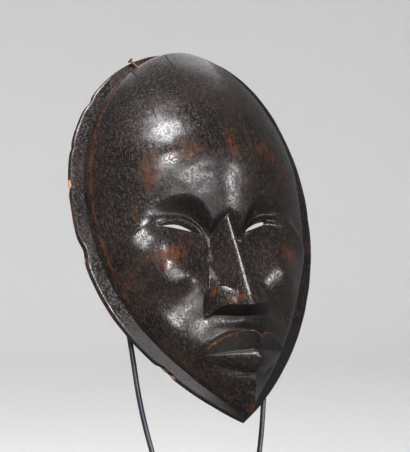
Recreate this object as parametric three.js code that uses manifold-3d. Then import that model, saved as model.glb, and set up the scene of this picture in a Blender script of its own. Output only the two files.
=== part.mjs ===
import * as THREE from 'three';
import { mergeVertices } from 'three/addons/utils/BufferGeometryUtils.js';
import Module from 'manifold-3d';

// A carved wooden face mask, held leaning back on two bent rods that stand in a foot.
// Millimetres, +Z up. The mask looks along -Y, and the origin is under the middle of the foot.

const wasm = await Module();
wasm.setup();

// Mask sizes
const maskHeight = 242.5; // along the mask itself, chin tip to crown
const maskWidth = 160.5;
const maskDepth = 62.7; // from the plane of its back to the upper lip
const maskLean = THREE.MathUtils.degToRad(21);
const wallThickness = 8.5; // between the carved face and the hollow behind it
const eyeWallThickness = 3.6;
const rimWidth = 9.5; // flat back face of the rim
const edgeThickness = 2.6; // the rim's thin outer edge

// Nail sizes
const nailDiameter = 1.4;
const nailHeadDiameter = 3.6;
const nailHeadThickness = 0.9;
const nailOutside = 7.1; // length of shank that stands out of the rim
const nailInside = 5;
const nailAlongRim = 0.115; // where it goes in, from the crown round to the chin

// Stand sizes
const rodDiameter = 3.2;
const rodBelowCurve = 10; // straight end of a rod that goes down into its socket
const footWidth = 120;
const footLength = 104;
const footThickness = 10;
const footCorner = 3;
const footForward = 24; // from the mask's centre to the middle of the foot
const maskCentreHeight = 210; // above the ground
const clearance = 0.3; // between pieces that touch

// The carving is drawn on a mask of this size, then stretched to the mask sizes above.
const drawn = { crown: 122.5, chin: -120, halfWidth: 80.25, lip: 62.7 };
const tall = maskHeight / (drawn.crown - drawn.chin);
const wide = maskWidth / (2 * drawn.halfWidth);
const deep = maskDepth / drawn.lip;

// Rim and arris outlines: half-width against height, an oval above and a pointed chin below
const rimOutline = {
  top: drawn.crown, bottom: drawn.chin, widest: 28.9, halfWidth: drawn.halfWidth,
  crownFullness: 0.9, jawCurve: 2.3, chinPoint: 0.93,
};
const arrisOutline = {
  top: 121, bottom: -116.6, widest: 24.6, halfWidth: 70,
  crownFullness: 1.05, jawCurve: 2.09, chinPoint: 1.05,
};

const clamp = (v, low, high) => Math.min(high, Math.max(low, v));
const mix = (a, b, share) => a + (b - a) * share;
const bump = (distance, reach) => Math.exp(-((distance / reach) ** 2));

function ease(from, to, v) {
  const share = clamp((v - from) / (to - from), 0, 1);
  return share * share * (3 - 2 * share);
}

// A point of an outline: along runs from 0 at the crown to 1 at the chin.
function outlinePoint(outline, along) {
  const crownShare = 0.4;
  if (along <= crownShare) {
    const angle = (along / crownShare) * Math.PI / 2;
    const x = outline.halfWidth * Math.sin(angle) ** outline.crownFullness;
    return { x, z: outline.widest + (outline.top - outline.widest) * Math.cos(angle) };
  }
  const down = Math.sin(((along - crownShare) / (1 - crownShare)) * Math.PI / 2);
  const x = outline.halfWidth * (1 - down ** outline.jawCurve) ** outline.chinPoint;
  return { x, z: outline.widest - (outline.widest - outline.bottom) * down };
}

function halfWidthAt(outline, z) {
  if (z >= outline.widest) {
    const up = clamp((z - outline.widest) / (outline.top - outline.widest), 0, 1);
    return outline.halfWidth * Math.sqrt(1 - up * up) ** outline.crownFullness;
  }
  const down = clamp((outline.widest - z) / (outline.widest - outline.bottom), 0, 1);
  return outline.halfWidth * (1 - down ** outline.jawCurve) ** outline.chinPoint;
}

// The rim bows: its back edge lies flat at the temples and comes forward at chin and crown.
const chinShare = (z) => clamp((-20 - z) / 100, 0, 1) ** 2;
const crownShare = (z) => clamp((z - 40) / 80, 0, 1) ** 2;
const rimDepth = (z) => 21.7 * chinShare(z) + 11.4 * crownShare(z);
const arrisDepth = (z) => rimDepth(z) + 10.5 + 2.6 * chinShare(z) - 1.9 * crownShare(z);

// A section across the mask at one height: full depth at the middle, the arris at its ends
function section(x, z, middle, power, root) {
  const across = clamp(Math.abs(x) / Math.max(halfWidthAt(arrisOutline, z), 0.01), 0, 1);
  const edge = arrisDepth(z);
  return edge + (middle - edge) * (1 - across ** power) ** root;
}

// Forehead: a high dome, fullest a third of the way down
const dome = { height: 40, depth: 60, crownDepth: 20, crownPower: 1.8, bridgeDepth: 48, bridgePower: 1.4 };

function foreheadDepth(x, z) {
  const toCrown = (z - dome.height) / (arrisOutline.top - dome.height);
  const toBridge = clamp((dome.height - z) / dome.height, 0, 1.4);
  const middle = z > dome.height
    ? mix(dome.depth, dome.crownDepth, clamp(toCrown, 0, 1) ** dome.crownPower)
    : mix(dome.depth, dome.bridgeDepth, toBridge ** dome.bridgePower);
  const low = ease(45, 5, z);
  return section(x, z, middle, mix(2, 1.75, low), mix(0.78, 0.88, low));
}

// Face below the brow: flat across the eyes, a blunt prow across the mouth, a keel at the chin
const muzzle = { top: -25, full: -68, depth: 47.5, keelTop: -98, keelDepth: 49.6, keelEnd: 38.5 };
const eyePlaneDepth = 37;

function faceMiddle(z) {
  if (z > muzzle.full) return mix(eyePlaneDepth, muzzle.depth, ease(muzzle.top, muzzle.full, z));
  if (z > muzzle.keelTop) {
    return mix(muzzle.depth, muzzle.keelDepth, (muzzle.full - z) / (muzzle.full - muzzle.keelTop));
  }
  const down = (muzzle.keelTop - z) / (muzzle.keelTop - arrisOutline.bottom);
  return mix(muzzle.keelDepth, muzzle.keelEnd, clamp(down, 0, 1));
}

const cheek = { x: 35, z: -17, reachAcross: 14, reachUp: 13, reachDown: 7.5, flat: 8, height: 5.6 };
const jawHollow = { x: 30, z: -52, reachAcross: 14, reachUp: 13, depth: 2.4 };
const philtrum = { z: -71, reachUp: 4.5, reachAcross: 17, depth: 2.6 };

function faceDepth(x, z) {
  const power = mix(4.2, 1, ease(0, -75, z) ** 0.55);
  const root = mix(mix(0.62, 0.5, ease(-30, -80, z)), 0.75, ease(-85, -105, z));
  const side = Math.abs(x);
  const body = section(x, z, faceMiddle(z), power, root);
  const fallDown = bump(Math.min(z - cheek.z + cheek.flat, 0), cheek.reachDown);
  const swell = cheek.height * bump(side - cheek.x, cheek.reachAcross)
    * bump(Math.max(z - cheek.z, 0), cheek.reachUp) * fallDown;
  const sink = jawHollow.depth * bump(side - jawHollow.x, jawHollow.reachAcross)
    * bump(z - jawHollow.z, jawHollow.reachUp);
  const groove = philtrum.depth * bump(side, philtrum.reachAcross) * bump(z - philtrum.z, philtrum.reachUp);
  return body + (swell - sink) * edgeFade(x, z) - groove;
}

// Fades a swelling out before it reaches the arris
function edgeFade(x, z) {
  const across = Math.abs(x) / Math.max(halfWidthAt(arrisOutline, z), 0.01);
  return 1 - ease(0.75, 1, across);
}

// Brow: the lower edge of the forehead, arched over each eye and drawn down beside the nose
const brow = {
  x: 31, top: 9.8, middleZ: -2.5, innerX: 10.5, innerZ: -6.3, outerX: 52, outerZ: 3,
  below: 6.5, above: 5, softerByNose: 2,
};

function browEdge(x) {
  const side = Math.abs(x);
  if (side < brow.innerX) return mix(brow.middleZ, brow.innerZ, side / brow.innerX);
  if (side < brow.x) {
    return mix(brow.top, brow.innerZ, ((brow.x - side) / (brow.x - brow.innerX)) ** 3);
  }
  return mix(brow.top, brow.outerZ, ((side - brow.x) / (brow.outerX - brow.x)) ** 2);
}

// Eyes: an arched lid over a narrow slit. The carver made the slit on the right much shorter.
const lid = { x: 30, top: 2.1, innerX: 15, innerZ: -5.4, outerX: 46.5, outerZ: -1.8, faded: 20, full: 12 };
const lidRidge = { height: 1.5, reach: 2.1 };
const slit = {
  innerX: 15.5, innerZ: -7, middleX: 31, top: 0.5, outerX: 41, outerZ: -0.4, lowZ: -7.2, lowRise: 0.22,
};
const shortSlit = {
  innerX: 14.6, innerZ: -5.4, middleX: 31, top: 2, outerX: 29.8, outerZ: 2, lowZ: -5.9, lowRise: 0.37,
};

function lidLine(x) {
  const side = Math.abs(x);
  const inner = side < lid.x;
  const share = inner ? (lid.x - side) / (lid.x - lid.innerX) : (side - lid.x) / (lid.outerX - lid.x);
  return mix(lid.top, inner ? lid.innerZ : lid.outerZ, share ** 2);
}

function eyeRelief(x, z) {
  const side = Math.abs(x);
  const along = ease(lid.innerX - 4, lid.innerX + 4, side) * ease(lid.outerX + 5, lid.outerX - 5, side);
  const above = z - lidLine(x);
  return along * lidRidge.height * bump(above, lidRidge.reach) * ease(lid.faded, lid.full, Math.abs(z));
}

// Nose: a straight ridge, a flat side on the left and a steep one on the right, a wing at each side
const nose = {
  top: 1, blendAbove: 6, rootDepth: 47.5, tip: -54.6, tipDepth: 62, ridgePower: 1.05, lean: -0.3, ridgeRound: 1.7,
  rootHalfWidth: 8, lowHalfWidth: 14.8, flarePower: 1.5, rightRoot: 6, rightLow: 10.5,
  wingTop: -42, wingFall: 12, wingStep: 1.6, wingHighWidth: 18, rightHighWidth: 14, wingLowWidth: 21,
  wingSpread: 14, wingMiddle: 57.6, wingBend: 0.19, wingFull: 8,
  base: -60.2, leftLift: 3.6, liftReach: 13, leftDrop: 3, dropStart: 14, rightLift: 7.5,
  foot: -61.6, footLift: 3.6, footGap: 0.9,
};

const soften = (x, round) => Math.sqrt(x * x + round * round) - round;

// Height of the nose's lower edge: it rises beside the tip, and further out on the right.
function noseBase(x) {
  if (x > 0) return nose.base + nose.rightLift * clamp(x / nose.wingLowWidth, 0, 1) ** 0.8;
  return nose.base + nose.leftLift * ease(0, nose.liftReach, -x)
    - nose.leftDrop * ease(nose.dropStart, nose.wingLowWidth, -x);
}

// Height at which the underside of the nose meets the face
function noseFoot(x) {
  const level = nose.foot + nose.footLift * clamp(Math.abs(x) / nose.wingLowWidth, 0, 1) ** 1.4;
  return Math.min(noseBase(x) - nose.footGap, level);
}

// Height of the wing's upper edge: level at its outer end, falling towards the tip of the nose
function wingTop(x) {
  return nose.wingTop - nose.wingFall * clamp(1 - Math.abs(x) / nose.wingHighWidth, 0, 1) ** 2;
}

function wingDepth(x, z, ground) {
  const below = wingTop(x) - z;
  const rise = Math.sqrt(clamp(below / nose.wingStep, 0, 1));
  const highWidth = x > 0 ? nose.rightHighWidth : nose.wingHighWidth;
  const half = mix(highWidth, nose.wingLowWidth, clamp((nose.wingTop - z) / nose.wingSpread, 0, 1) ** 0.8);
  const out = Math.sqrt(Math.max(0, 1 - (Math.abs(x) / half) ** 12));
  const swell = 1 - 0.035 * clamp((below - nose.wingFull) / nose.wingFull, -1, 1) ** 2;
  const front = (nose.wingMiddle - nose.wingBend * soften(x, nose.ridgeRound) ** 1.5) * swell;
  return ground + (front - ground) * rise * out;
}

function noseDepth(xHere, z, ground) {
  const down = clamp((nose.top - z) / (nose.top - nose.tip), 0, 1);
  const x = xHere - nose.lean * down;
  const ridge = mix(nose.rootDepth, nose.tipDepth, down ** nose.ridgePower);
  const halfWidth = x > 0
    ? mix(nose.rightRoot, nose.rightLow, down)
    : mix(nose.rootHalfWidth, nose.lowHalfWidth, down ** nose.flarePower);
  const foot = faceDepth(halfWidth, z);
  const bridge = ridge - (ridge - foot) * (soften(x, nose.ridgeRound) / halfWidth) ** 1.04;
  const low = noseFoot(xHere);
  const under = clamp((z - low) / (noseBase(xHere) - low), 0, 1);
  return mix(ground, Math.max(bridge, wingDepth(x, z, ground), ground), under);
}

// Lips: a prow of flat facets, with a bowed upper edge, notched in the middle, and a rounded lower lip
const lips = {
  halfWidth: 26.5, slant: 0.11, rightDrop: 0.9, rightDropFrom: 3, rightDropTo: 12, cornerZ: -79,
  edgeCornerZ: -78.6, edgeNotch: -80.6, edgePeak: -73, edgeDepth: 62.7, edgeSlope: 1.09,
  leftPeakX: 10, leftRise: 0.5, rightPeakX: 14, rightRise: 0.9,
  partingMiddle: -85, partingDepth: 55.6, partingSlope: 0.86,
  bottomMiddle: -95.4, bottomDepth: 53, bottomSlope: 0.75,
  ramp: 4, roll: 3.6, undercut: 1.3, ridgeRound: 2.2,
  moat: 2.2, moatBelow: 1.5, moatReach: 3.4, moatFull: 14, moatFaded: 25,
};

const onLips = (x) => clamp(x, -lips.halfWidth, lips.halfWidth);

// How far the mouth's lines lie above or below the drawn ones: a slant on the left, a drop on the right
function lipShift(x) {
  return lips.slant * Math.min(x, 0) - lips.rightDrop * ease(lips.rightDropFrom, lips.rightDropTo, x);
}

// Height of the upper lip's edge: from the notch up to a peak, rounder on the right, and down
function upperEdge(x) {
  const side = Math.abs(x);
  const [peakX, rise, fall] = x > 0 ? [lips.rightPeakX, lips.rightRise, 3] : [lips.leftPeakX, lips.leftRise, 2];
  if (side < peakX) return mix(lips.edgeNotch, lips.edgePeak, Math.sin((side / peakX) * Math.PI / 2) ** rise);
  return mix(lips.edgePeak, lips.edgeCornerZ, ((side - peakX) / (lips.halfWidth - peakX)) ** fall);
}

const parting = (x) => mix(lips.partingMiddle, lips.cornerZ, Math.abs(x) / lips.halfWidth);

function lowerEdge(x) {
  return mix(lips.bottomMiddle, lips.cornerZ, (Math.abs(x) / lips.halfWidth) ** (x > 0 ? 1.8 : 1.15));
}

function lipDepth(x, zHere, face) {
  const side = Math.abs(x);
  if (side > lips.halfWidth) return face;
  const z = zHere - lipShift(x);
  const round = soften(x, lips.ridgeRound);
  const [edgeZ, partingZ, bottomZ] = [upperEdge(x), parting(x), lowerEdge(x)];
  const edge = lips.edgeDepth - lips.edgeSlope * round;
  const inner = lips.partingDepth - lips.partingSlope * round;
  const bottom = lips.bottomDepth - lips.bottomSlope * round;
  if (z > edgeZ) return Math.max(face, mix(edge, face, clamp((z - edgeZ) / lips.ramp, 0, 1) ** 0.8));
  if (z > partingZ) return Math.max(face, mix(inner, edge, (z - partingZ) / (edgeZ - partingZ)));
  const moat = lips.moat * bump(bottomZ - z - lips.moatBelow, lips.moatReach)
    * (1 - ease(lips.moatFull, lips.moatFaded, side));
  const ground = face - moat;
  if (z > bottomZ) {
    const share = (partingZ - z) / (partingZ - bottomZ);
    const roll = lips.roll * Math.sin(share ** 0.85 * Math.PI) * (1 - side / (lips.halfWidth + 4));
    return Math.max(ground, mix(inner, bottom, share ** 2) + roll);
  }
  return Math.max(ground, mix(bottom, ground, clamp((bottomZ - z) / lips.undercut, 0, 1)));
}

// The whole carved front: depth forward of the back plane, at x across and z up the mask
function frontDepth(x, z) {
  const face = faceDepth(x, z) + eyeRelief(x, z);
  const edge = browEdge(x);
  const byNose = brow.softerByNose * bump(x, brow.innerX);
  const ground = mix(face, foreheadDepth(x, z), ease(edge - brow.below - byNose, edge + brow.above + byNose, z));
  if (z > nose.top + nose.blendAbove) return ground;
  const withNose = noseDepth(x, z, ground);
  return z < nose.foot - 3.6 ? lipDepth(x, z, withNose) : withNose;
}

// A drawn point in the mask's own axes, at its real size
const drawnPoint = (x, z, depth) => [x * wide, -depth * deep, z * tall];

// Builds a closed geometry from rings of points that all have the same number of points.
class Shell {
  constructor() {
    this.points = [];
    this.faces = [];
  }

  add(x, z, depth) {
    this.points.push(drawnPoint(x, z, depth));
    return this.points.length - 1;
  }

  strip(first, second, closed) {
    const count = closed ? first.length : first.length - 1;
    for (let i = 0; i < count; i += 1) {
      const next = (i + 1) % first.length;
      this.faces.push([first[i], first[next], second[next]], [first[i], second[next], second[i]]);
    }
  }

  fan(ring, centre) {
    ring.forEach((point, i) => this.faces.push([point, ring[(i + 1) % ring.length], centre]));
  }

  geometry() {
    const geometry = new THREE.BufferGeometry();
    geometry.setAttribute('position', new THREE.Float32BufferAttribute(this.points.flat(), 3));
    geometry.setIndex(this.faces.flat());
    return geometry;
  }
}

// Turns a geometry into a solid for cutting
function solidOf(geometry) {
  const bare = geometry.clone();
  bare.deleteAttribute('normal');
  bare.deleteAttribute('uv');
  const merged = mergeVertices(bare, 1e-4);
  const index = merged.index.array;
  const kept = [];
  for (let i = 0; i < index.length; i += 3) {
    const [a, b, c] = [index[i], index[i + 1], index[i + 2]];
    if (a !== b && b !== c && c !== a) kept.push(a, b, c);
  }
  return new wasm.Manifold(new wasm.Mesh({
    numProp: 3,
    vertProperties: new Float32Array(merged.attributes.position.array),
    triVerts: new Uint32Array(kept),
  }));
}

function geometryOf(solid) {
  const mesh = solid.getMesh();
  const geometry = new THREE.BufferGeometry();
  geometry.setAttribute('position', new THREE.BufferAttribute(new Float32Array(mesh.vertProperties), 3));
  geometry.setIndex(new THREE.BufferAttribute(new Uint32Array(mesh.triVerts), 1));
  geometry.computeVertexNormals();
  return geometry;
}

// Lines across the mask, from crown to chin, that the rows of the carved front follow. Each gives the
// height of the line at x, and the number of rows between it and the next line.
const level = (z) => () => z;
const eyeLine = (above) => (x) => lidLine(clamp(Math.abs(x), 11, 49)) + above;
const wingLine = (above) => (x) => nose.wingTop - 0.35 * nose.wingFall * bump(x, lips.leftPeakX) + above;
const noseLine = (line) => (x) => line(clamp(x, -nose.wingLowWidth, nose.wingLowWidth));
const lipLine = (line, spread) => (x) => {
  const here = onLips(x);
  const side = Math.abs(here);
  return line(here) + lipShift(here) + spread * (1 + Math.abs(x) - side) * (side / lips.halfWidth);
};

const guides = [
  ...[0.03, 0.064, 0.098, 0.132, 0.166, 0.2, 0.234, 0.268].map((along) => (
    { line: level(outlinePoint(arrisOutline, along).z), rows: 1 })),
  { line: level(61), rows: 5 },
  { line: level(29), rows: 3 },
  { line: eyeLine(9.5), rows: 4 },
  { line: eyeLine(3.4), rows: 3 },
  { line: eyeLine(0), rows: 2 },
  { line: eyeLine(-2.4), rows: 2 },
  { line: eyeLine(-8), rows: 5 },
  { line: level(-27), rows: 4 },
  { line: wingLine(0.5), rows: 2 },
  { line: wingLine(-2.5), rows: 5 },
  { line: noseLine(noseBase), rows: 1 },
  { line: noseLine(noseFoot), rows: 3 },
  { line: level(-66), rows: 3 },
  { line: lipLine(upperEdge, 0.45), rows: 3 },
  { line: lipLine(parting, 0), rows: 4 },
  { line: lipLine(lowerEdge, -1.2), rows: 1 },
  { line: lipLine((x) => lowerEdge(x) - lips.undercut, -1.6), rows: 3 },
  { line: level(-107), rows: 2 },
  { line: level(-113), rows: 1 },
  { line: level(-115.4), rows: 1 },
];

function frontRows() {
  return guides.flatMap(({ line, rows }, i) => {
    const next = guides[i + 1]?.line ?? line;
    return Array.from({ length: rows }, (_, row) => (x) => mix(line(x), next(x), row / rows));
  });
}

const columnsEachSide = 17;

// A point of the front on one row: share runs from -1 at one arris to 1 at the other,
// with the columns closer together near the middle where the mask is wide
function frontPoint(row, share) {
  let x = 0;
  let z = row(0);
  for (let pass = 0; pass < 40; pass += 1) {
    const halfWidth = halfWidthAt(arrisOutline, z);
    const crowding = mix(0.95, 0.6, clamp((halfWidth - 25) / 40, 0, 1));
    x = mix(x, halfWidth * share * mix(share * share, 1, crowding), 0.6);
    z = row(x);
  }
  return { x, z };
}

// The solid wood before it is hollowed: carved front, rim band and a flat back
function maskBlank() {
  const shell = new Shell();
  const rows = frontRows();
  const top = shell.add(0, arrisOutline.top, frontDepth(0, arrisOutline.top));
  const bottom = shell.add(0, arrisOutline.bottom, frontDepth(0, arrisOutline.bottom));
  const lines = rows.map((row) => (
    Array.from({ length: 2 * columnsEachSide + 1 }, (_, i) => {
      const { x, z } = frontPoint(row, i / columnsEachSide - 1);
      return shell.add(x, z, frontDepth(x, z));
    })
  ));
  for (let i = 0; i < lines[0].length - 1; i += 1) {
    shell.faces.push([top, lines[0][i], lines[0][i + 1]]);
    shell.faces.push([bottom, lines.at(-1)[i + 1], lines.at(-1)[i]]);
  }
  lines.slice(1).forEach((line, i) => shell.strip(line, lines[i], false));
  const arris = [top, ...lines.map((line) => line.at(-1)), bottom, ...lines.map((line) => line[0]).reverse()];
  addBand(shell, arris, rows);
  return shell.geometry();
}

// The band round the mask: a steep step below the arris, then a flange out to a thin edge
function addBand(shell, arris, rows) {
  const edge = edgePoints(rows);
  const ring = (across, depth) => edge.map((point) => shell.add(
    mix(point.arris.x, point.x, across),
    mix(point.arris.z, point.z, across),
    depth(point),
  ));
  const wallFoot = ring(0.2, (p) => mix(p.arris.depth, rimDepth(p.z), 0.5));
  const flangeEdge = ring(1, (p) => rimDepth(p.z) + edgeThickness / deep);
  const back = ring(1, (p) => rimDepth(p.z));
  const middle = shell.add(0, 0, -1);
  shell.strip(arris, wallFoot, true);
  shell.strip(wallFoot, flangeEdge, true);
  shell.strip(flangeEdge, back, true);
  shell.fan(back, middle);
}

// For each point of the arris ring, the point of the outer edge that faces it
function edgePoints(rows) {
  const facing = ({ x, z }) => ({ arris: { x, z, depth: frontDepth(x, z) }, ...facingEdge(x, z) });
  const right = rows.map((row) => facing(frontPoint(row, 1)));
  const left = rows.map((row) => facing(frontPoint(row, -1))).reverse();
  return [facing({ x: 0, z: arrisOutline.top }), ...right, facing({ x: 0, z: arrisOutline.bottom }), ...left];
}

// The outer edge on the ray from the mask's middle through an arris point
function facingEdge(x, z) {
  const centreZ = 15;
  const turn = (p) => Math.atan2(p.x, p.z - centreZ);
  const wanted = Math.atan2(Math.abs(x), z - centreZ);
  let [low, high] = [0, 1];
  for (let pass = 0; pass < 40; pass += 1) {
    const middle = (low + high) / 2;
    if (turn(outlinePoint(rimOutline, middle)) < wanted) low = middle;
    else high = middle;
  }
  const point = outlinePoint(rimOutline, (low + high) / 2);
  return { x: x < 0 ? -point.x : point.x, z: point.z };
}

// The hollow behind the face follows the face without its nose, lips and lids.
const hollowOutline = {
  ...rimOutline,
  top: rimOutline.top - rimWidth / tall,
  bottom: rimOutline.bottom + 1.8 * rimWidth / tall,
  halfWidth: rimOutline.halfWidth - rimWidth / wide,
};
const hollowSides = 48;
const hollowRings = 9;
const hollowMiddleZ = 5;
const behind = -12; // well behind the rim, so that the cut goes right through

function plainDepth(x, z) {
  return mix(faceDepth(x, z), foreheadDepth(x, z), ease(-4, 14, z));
}

function wallAt(z) {
  return mix(wallThickness, eyeWallThickness, bump(z, 18)) / deep;
}

// A point of the hollow: out is 0 at its middle and 1 at the rim's inner edge
function hollowPoint(along, side, out) {
  const inner = outlinePoint(hollowOutline, along);
  const outer = outlinePoint(arrisOutline, along);
  const z = mix(hollowMiddleZ, inner.z, out);
  const frontZ = mix(hollowMiddleZ, outer.z, out);
  const front = plainDepth(outer.x * out, frontZ);
  const rimRise = arrisDepth(outer.z) - rimDepth(outer.z);
  return { x: side * inner.x * out, z, depth: front - mix(wallAt(frontZ), rimRise, out ** 4) };
}

function hollowCutter() {
  const shell = new Shell();
  const around = Array.from({ length: hollowSides }, (_, i) => {
    const turn = (2 * i) / hollowSides;
    return turn <= 1 ? { along: turn, side: 1 } : { along: 2 - turn, side: -1 };
  });
  const ring = (out, fixedDepth) => around.map(({ along, side }) => {
    const point = hollowPoint(along, side, out);
    return shell.add(point.x, point.z, fixedDepth ?? point.depth);
  });
  const rings = Array.from({ length: hollowRings }, (_, i) => ring(1 - (i / hollowRings) ** 1.4));
  const back = ring(1, behind);
  const top = hollowPoint(0, 1, 0);
  const all = [back, ...rings];
  all.slice(1).forEach((next, i) => shell.strip(next, all[i], true));
  shell.fan([...rings.at(-1)].reverse(), shell.add(0, hollowMiddleZ, top.depth));
  shell.fan(back, shell.add(0, hollowMiddleZ, behind));
  return shell.geometry();
}

// Eye slit: an arched upper edge over a straight lower one that rises outwards, cut straight back
function slitCutter(side) {
  const ends = side > 0 ? shortSlit : slit;
  const arch = (x) => {
    const inner = x < ends.middleX;
    const share = inner
      ? (ends.middleX - x) / (ends.middleX - ends.innerX)
      : (x - ends.middleX) / (ends.outerX - ends.middleX);
    return mix(ends.top, inner ? ends.innerZ : ends.outerZ, share ** 2);
  };
  const count = 9;
  const along = Array.from({ length: count }, (_, i) => mix(ends.innerX, ends.outerX, i / (count - 1)));
  const place = (x, z) => new THREE.Vector2(side * x * wide, z * tall);
  const upper = along.map((x) => place(x, arch(x)));
  const lower = along.map((x) => place(x, ends.lowZ + ends.lowRise * (x - ends.innerX)));
  const outline = new THREE.Shape([...upper, ...lower.reverse()]);
  const geometry = new THREE.ExtrudeGeometry(outline, { depth: maskDepth, bevelEnabled: false });
  return geometry.rotateX(Math.PI / 2);
}

// Nail: driven into the step of the rim near the crown, its head standing clear
function nailFrame() {
  const edge = outlinePoint(arrisOutline, nailAlongRim);
  const next = outlinePoint(arrisOutline, nailAlongRim + 0.01);
  const outward = new THREE.Vector3(-(edge.z - next.z), 0, next.x - edge.x).normalize();
  const backward = 0.25;
  const direction = new THREE.Vector3(outward.x, backward, outward.z).normalize();
  const step = 1.4;
  const [x, y, z] = drawnPoint(-edge.x, edge.z, arrisDepth(edge.z) - step);
  return { place: new THREE.Vector3(x, y, z), direction };
}

function rodLike(radius, from, to, sides) {
  const { place, direction } = nailFrame();
  const geometry = new THREE.CylinderGeometry(radius, radius, to - from, sides);
  geometry.translate(0, (from + to) / 2, 0);
  geometry.applyQuaternion(new THREE.Quaternion().setFromUnitVectors(new THREE.Vector3(0, 1, 0), direction));
  return geometry.translate(place.x, place.y, place.z);
}

function nailGeometry() {
  const sides = 8;
  const shank = solidOf(rodLike(nailDiameter / 2, -nailInside, nailOutside, sides));
  const head = solidOf(rodLike(nailHeadDiameter / 2, nailOutside - nailHeadThickness, nailOutside, 2 * sides));
  return geometryOf(shank.add(head));
}

function maskGeometry() {
  const nailHole = rodLike(nailDiameter / 2 + clearance, -nailInside - clearance, nailOutside, 8);
  const headFoot = nailOutside - nailHeadThickness - clearance;
  const headRoom = rodLike(nailHeadDiameter / 2 + clearance, headFoot, nailOutside + nailHeadDiameter, 16);
  const carved = solidOf(maskBlank())
    .subtract(solidOf(hollowCutter()))
    .subtract(solidOf(slitCutter(1)))
    .subtract(solidOf(slitCutter(-1)))
    .subtract(solidOf(nailHole))
    .subtract(solidOf(headRoom));
  return geometryOf(carved);
}

// Stand. Rod points are from the mask's centre: out to the side as a share of the mask's width,
// back and up as shares of the height of its centre above the ground.
const rodCurve = [
  { out: 0.076, back: -0.139, up: -0.933 },
  { out: 0.125, back: -0.117, up: -0.838 },
  { out: 0.181, back: -0.089, up: -0.714 },
  { out: 0.224, back: -0.065, up: -0.593 },
  { out: 0.259, back: -0.037, up: -0.452 },
  { out: 0.279, back: -0.014, up: -0.312 },
  { out: 0.299, back: 0.012, up: -0.167 },
  { out: 0.336, back: 0.038, up: -0.01 },
  { out: 0.33, back: 0.067, up: 0.181 },
];
const rodTip = { along: 0.18, out: 0.82 }; // where a rod's tip meets the roof of the hollow

// From the mask's own axes to the stand's, both from the mask's centre
function leaned(x, y, z) {
  return new THREE.Vector3(x, y, z).applyAxisAngle(new THREE.Vector3(1, 0, 0), -maskLean);
}

function rodPath(side) {
  const tip = hollowPoint(rodTip.along, side, rodTip.out);
  const [tipX, tipY, tipZ] = drawnPoint(tip.x, tip.z, tip.depth);
  const gap = rodDiameter / 2 + clearance;
  const end = leaned(tipX, tipY + gap, tipZ - gap);
  const points = rodCurve.map(({ out, back, up }) => (
    new THREE.Vector3(side * out * maskWidth, back * maskCentreHeight, up * maskCentreHeight)));
  const downwards = points[0].clone().sub(points[1]).normalize();
  const socketEnd = points[0].clone().addScaledVector(downwards, rodBelowCurve);
  return new THREE.CatmullRomCurve3([socketEnd, ...points, end], false, 'centripetal');
}

function rodGeometry(side, diameter, stepCount) {
  const sides = 8;
  const round = new THREE.Shape();
  round.absarc(0, 0, diameter / 2, 0, 2 * Math.PI);
  return new THREE.ExtrudeGeometry(round, {
    extrudePath: rodPath(side), steps: stepCount, curveSegments: sides / 2, bevelEnabled: false,
  });
}

// Foot: a flat steel plate with rounded corners and a socket for each rod
function footGeometry() {
  const [halfX, halfY, r] = [footWidth / 2, footLength / 2, footCorner];
  const plan = new THREE.Shape();
  plan.absarc(halfX - r, halfY - r, r, 0, Math.PI / 2);
  plan.absarc(r - halfX, halfY - r, r, Math.PI / 2, Math.PI);
  plan.absarc(r - halfX, r - halfY, r, Math.PI, 1.5 * Math.PI);
  plan.absarc(halfX - r, r - halfY, r, 1.5 * Math.PI, 2 * Math.PI);
  const plate = new THREE.ExtrudeGeometry(plan, { depth: footThickness, bevelEnabled: false, curveSegments: 4 });
  const socket = (side) => solidOf(rodGeometry(side, rodDiameter + 2 * clearance, 60)
    .translate(0, footForward, maskCentreHeight));
  return geometryOf(solidOf(plate).subtract(socket(1)).subtract(socket(-1)));
}

const wood = new THREE.MeshStandardMaterial({ color: 0x2b1d16, roughness: 0.38, metalness: 0 });
const iron = new THREE.MeshStandardMaterial({ color: 0x4a3a30, roughness: 0.6, metalness: 0.8 });
const blackRod = new THREE.MeshStandardMaterial({ color: 0x1b2230, roughness: 0.35, metalness: 0.3 });
const blackPlate = new THREE.MeshStandardMaterial({ color: 0x1c1e22, roughness: 0.5, metalness: 0.3 });

function named(name, geometry, material) {
  const mesh = new THREE.Mesh(geometry, material);
  mesh.name = name;
  return mesh;
}

const leaning = new THREE.Group();
leaning.rotation.x = -maskLean;
leaning.add(named('mask', maskGeometry(), wood), named('nail', nailGeometry(), iron));

const raised = new THREE.Group();
raised.position.set(0, footForward, maskCentreHeight);
raised.add(
  leaning,
  named('stand_rod_left', rodGeometry(-1, rodDiameter, 34), blackRod),
  named('stand_rod_right', rodGeometry(1, rodDiameter, 34), blackRod),
);

const maskOnStand = new THREE.Group();
maskOnStand.add(raised, named('stand_foot', footGeometry(), blackPlate));

export default maskOnStand;
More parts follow.
